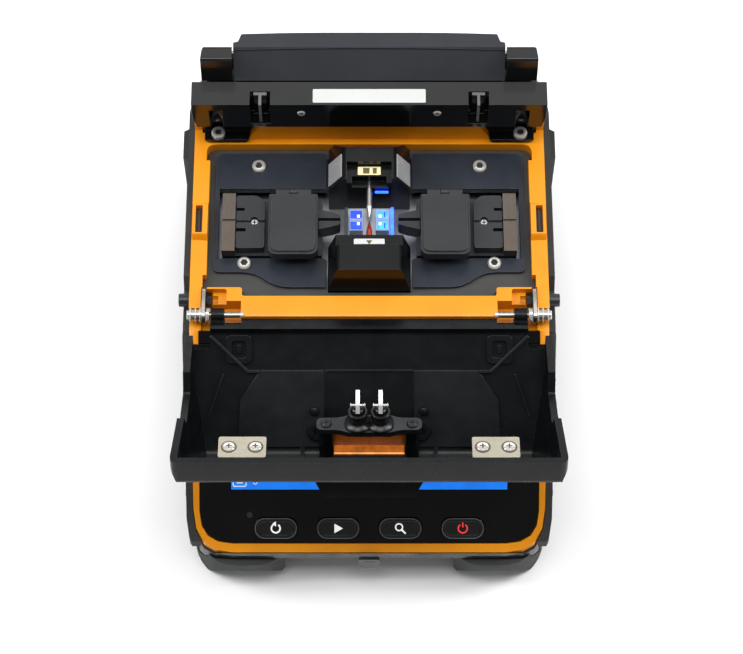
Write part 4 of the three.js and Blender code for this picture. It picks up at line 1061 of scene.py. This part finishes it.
def rear_details():
    """Case screws, the socket's ring, a blank plate, vent lips and the battery's finger ribs."""
    place = at(from_hinge((0, CASE_BACK, 0)), FACE_REAR)
    screws = []
    for side in (-1, 1):
        for part in screw(2.6, 1.0, cross_reach, 2.8, 0.7, edge=0.5, dome=0.15):
            screws.append(shifted(part, side * REAR_SCREWS[0], -REAR_SCREWS[1], -0.2))
    piece("rear_screws", screws, place, "body", "dark_steel", LOOK["dark_steel"], PAINTED_SHADE_BLACK)
    piece("jack_ring", [shifted(washer(3.15, 4.3, -0.3, 0.35), JACK[0], -JACK[1])], place, "body",
          "steel", STEEL_PAINTED_BRIGHT)
    border = ring(rounded(50.6, 5.4, 0.5, 0, -RATING_PLATE_Z),
                  rounded(50.0, 4.8, 0.3, 0, -RATING_PLATE_Z), 0.2, 0.32)
    piece("rating_plate",
          [prism(rounded(52, 6.6, 0.8, 0, -RATING_PLATE_Z), -0.1, 0.25), tagged(border, 1)],
          place, "body", "aluminium", SATIN_NICKEL, DARK_FOIL_PRINT_AND_SHADE, bevel=0.06)
    lips = [VENT_FIRST_X + VENT_PITCH * i for i in range(VENT_COUNT)]
    louvres = [bar((x, -VENT_LOW), (x, -VENT_HIGH), 0.5, -0.1, 0.4) for x in lips]
    piece("vent_lips", louvres, place, "body", "orange_shell", bevel=0.12)
    ribs = [prism(rounded(11, 1.3, 0.6, side * 24, -z), -0.3, 0.6)
            for side in (-1, 1) for z in (32.6, 35.2, 37.8, 40.4)]
    piece("battery_ribs", ribs, at(from_hinge((0, BATTERY_BACK, 0)), FACE_REAR), "battery_pack",
          "battery_case", bevel=0.25)


def underside():
    """Screws in cups, a blank plate and ribs on the tray's bottom."""
    place = at(Vector((0, 0, TRAY_BOTTOM * MM)), FACE_DOWN)
    parts = []
    for x in (-50, 50):
        for y in (-48, 62):
            for part in screw(3.0, 1.1, cross_reach, 3.2, 0.8, edge=0.5, dome=0.1):
                parts.append(shifted(part, x, y, -0.2))
            parts.append(tagged(shifted(washer(3.1, 5.2, -0.2, 0.8), x, y), 2))
    piece("base_screws", parts, place, "body", "dark_steel", LOOK["dark_steel"], PAINTED_SHADE_BLACK,
          LOOK["black_shell"])
    border = ring(rounded(59, 31, 1.4, 0, -6), rounded(58.2, 30.2, 1, 0, -6), 0.2, 0.32)
    piece("base_plate_label", [prism(rounded(62, 34, 2, 0, -6), -0.1, 0.25), tagged(border, 1)],
          place, "body", "aluminium", SATIN_NICKEL, DARK_FOIL_PRINT_AND_SHADE, bevel=0.08)
    ribs = [prism(rounded(56, 2.2, 1, 0, 26 + 6 * i), -0.2, 0.8) for i in range(5)]
    piece("base_ribs", ribs, place, "body", "black_shell", bevel=0.3)


# ------------------------------------------------------------------ the scene
make_camera()
make_lights()
make_floor()
dress_nodes()
deck_screws()
exit_slots()
guard_ribs()
rear_details()
underside()
stage_screws()
groove_lights()
arc_cheeks()
arc_plates()
oven_clips()
lid_shade_line()
oven_details()
hinge_details()
cover_moulding()
cover_channel()
cover_window()
catch_screws()
bracket_details()
pressers()
screen_picture()
button_icons()
panel_details()
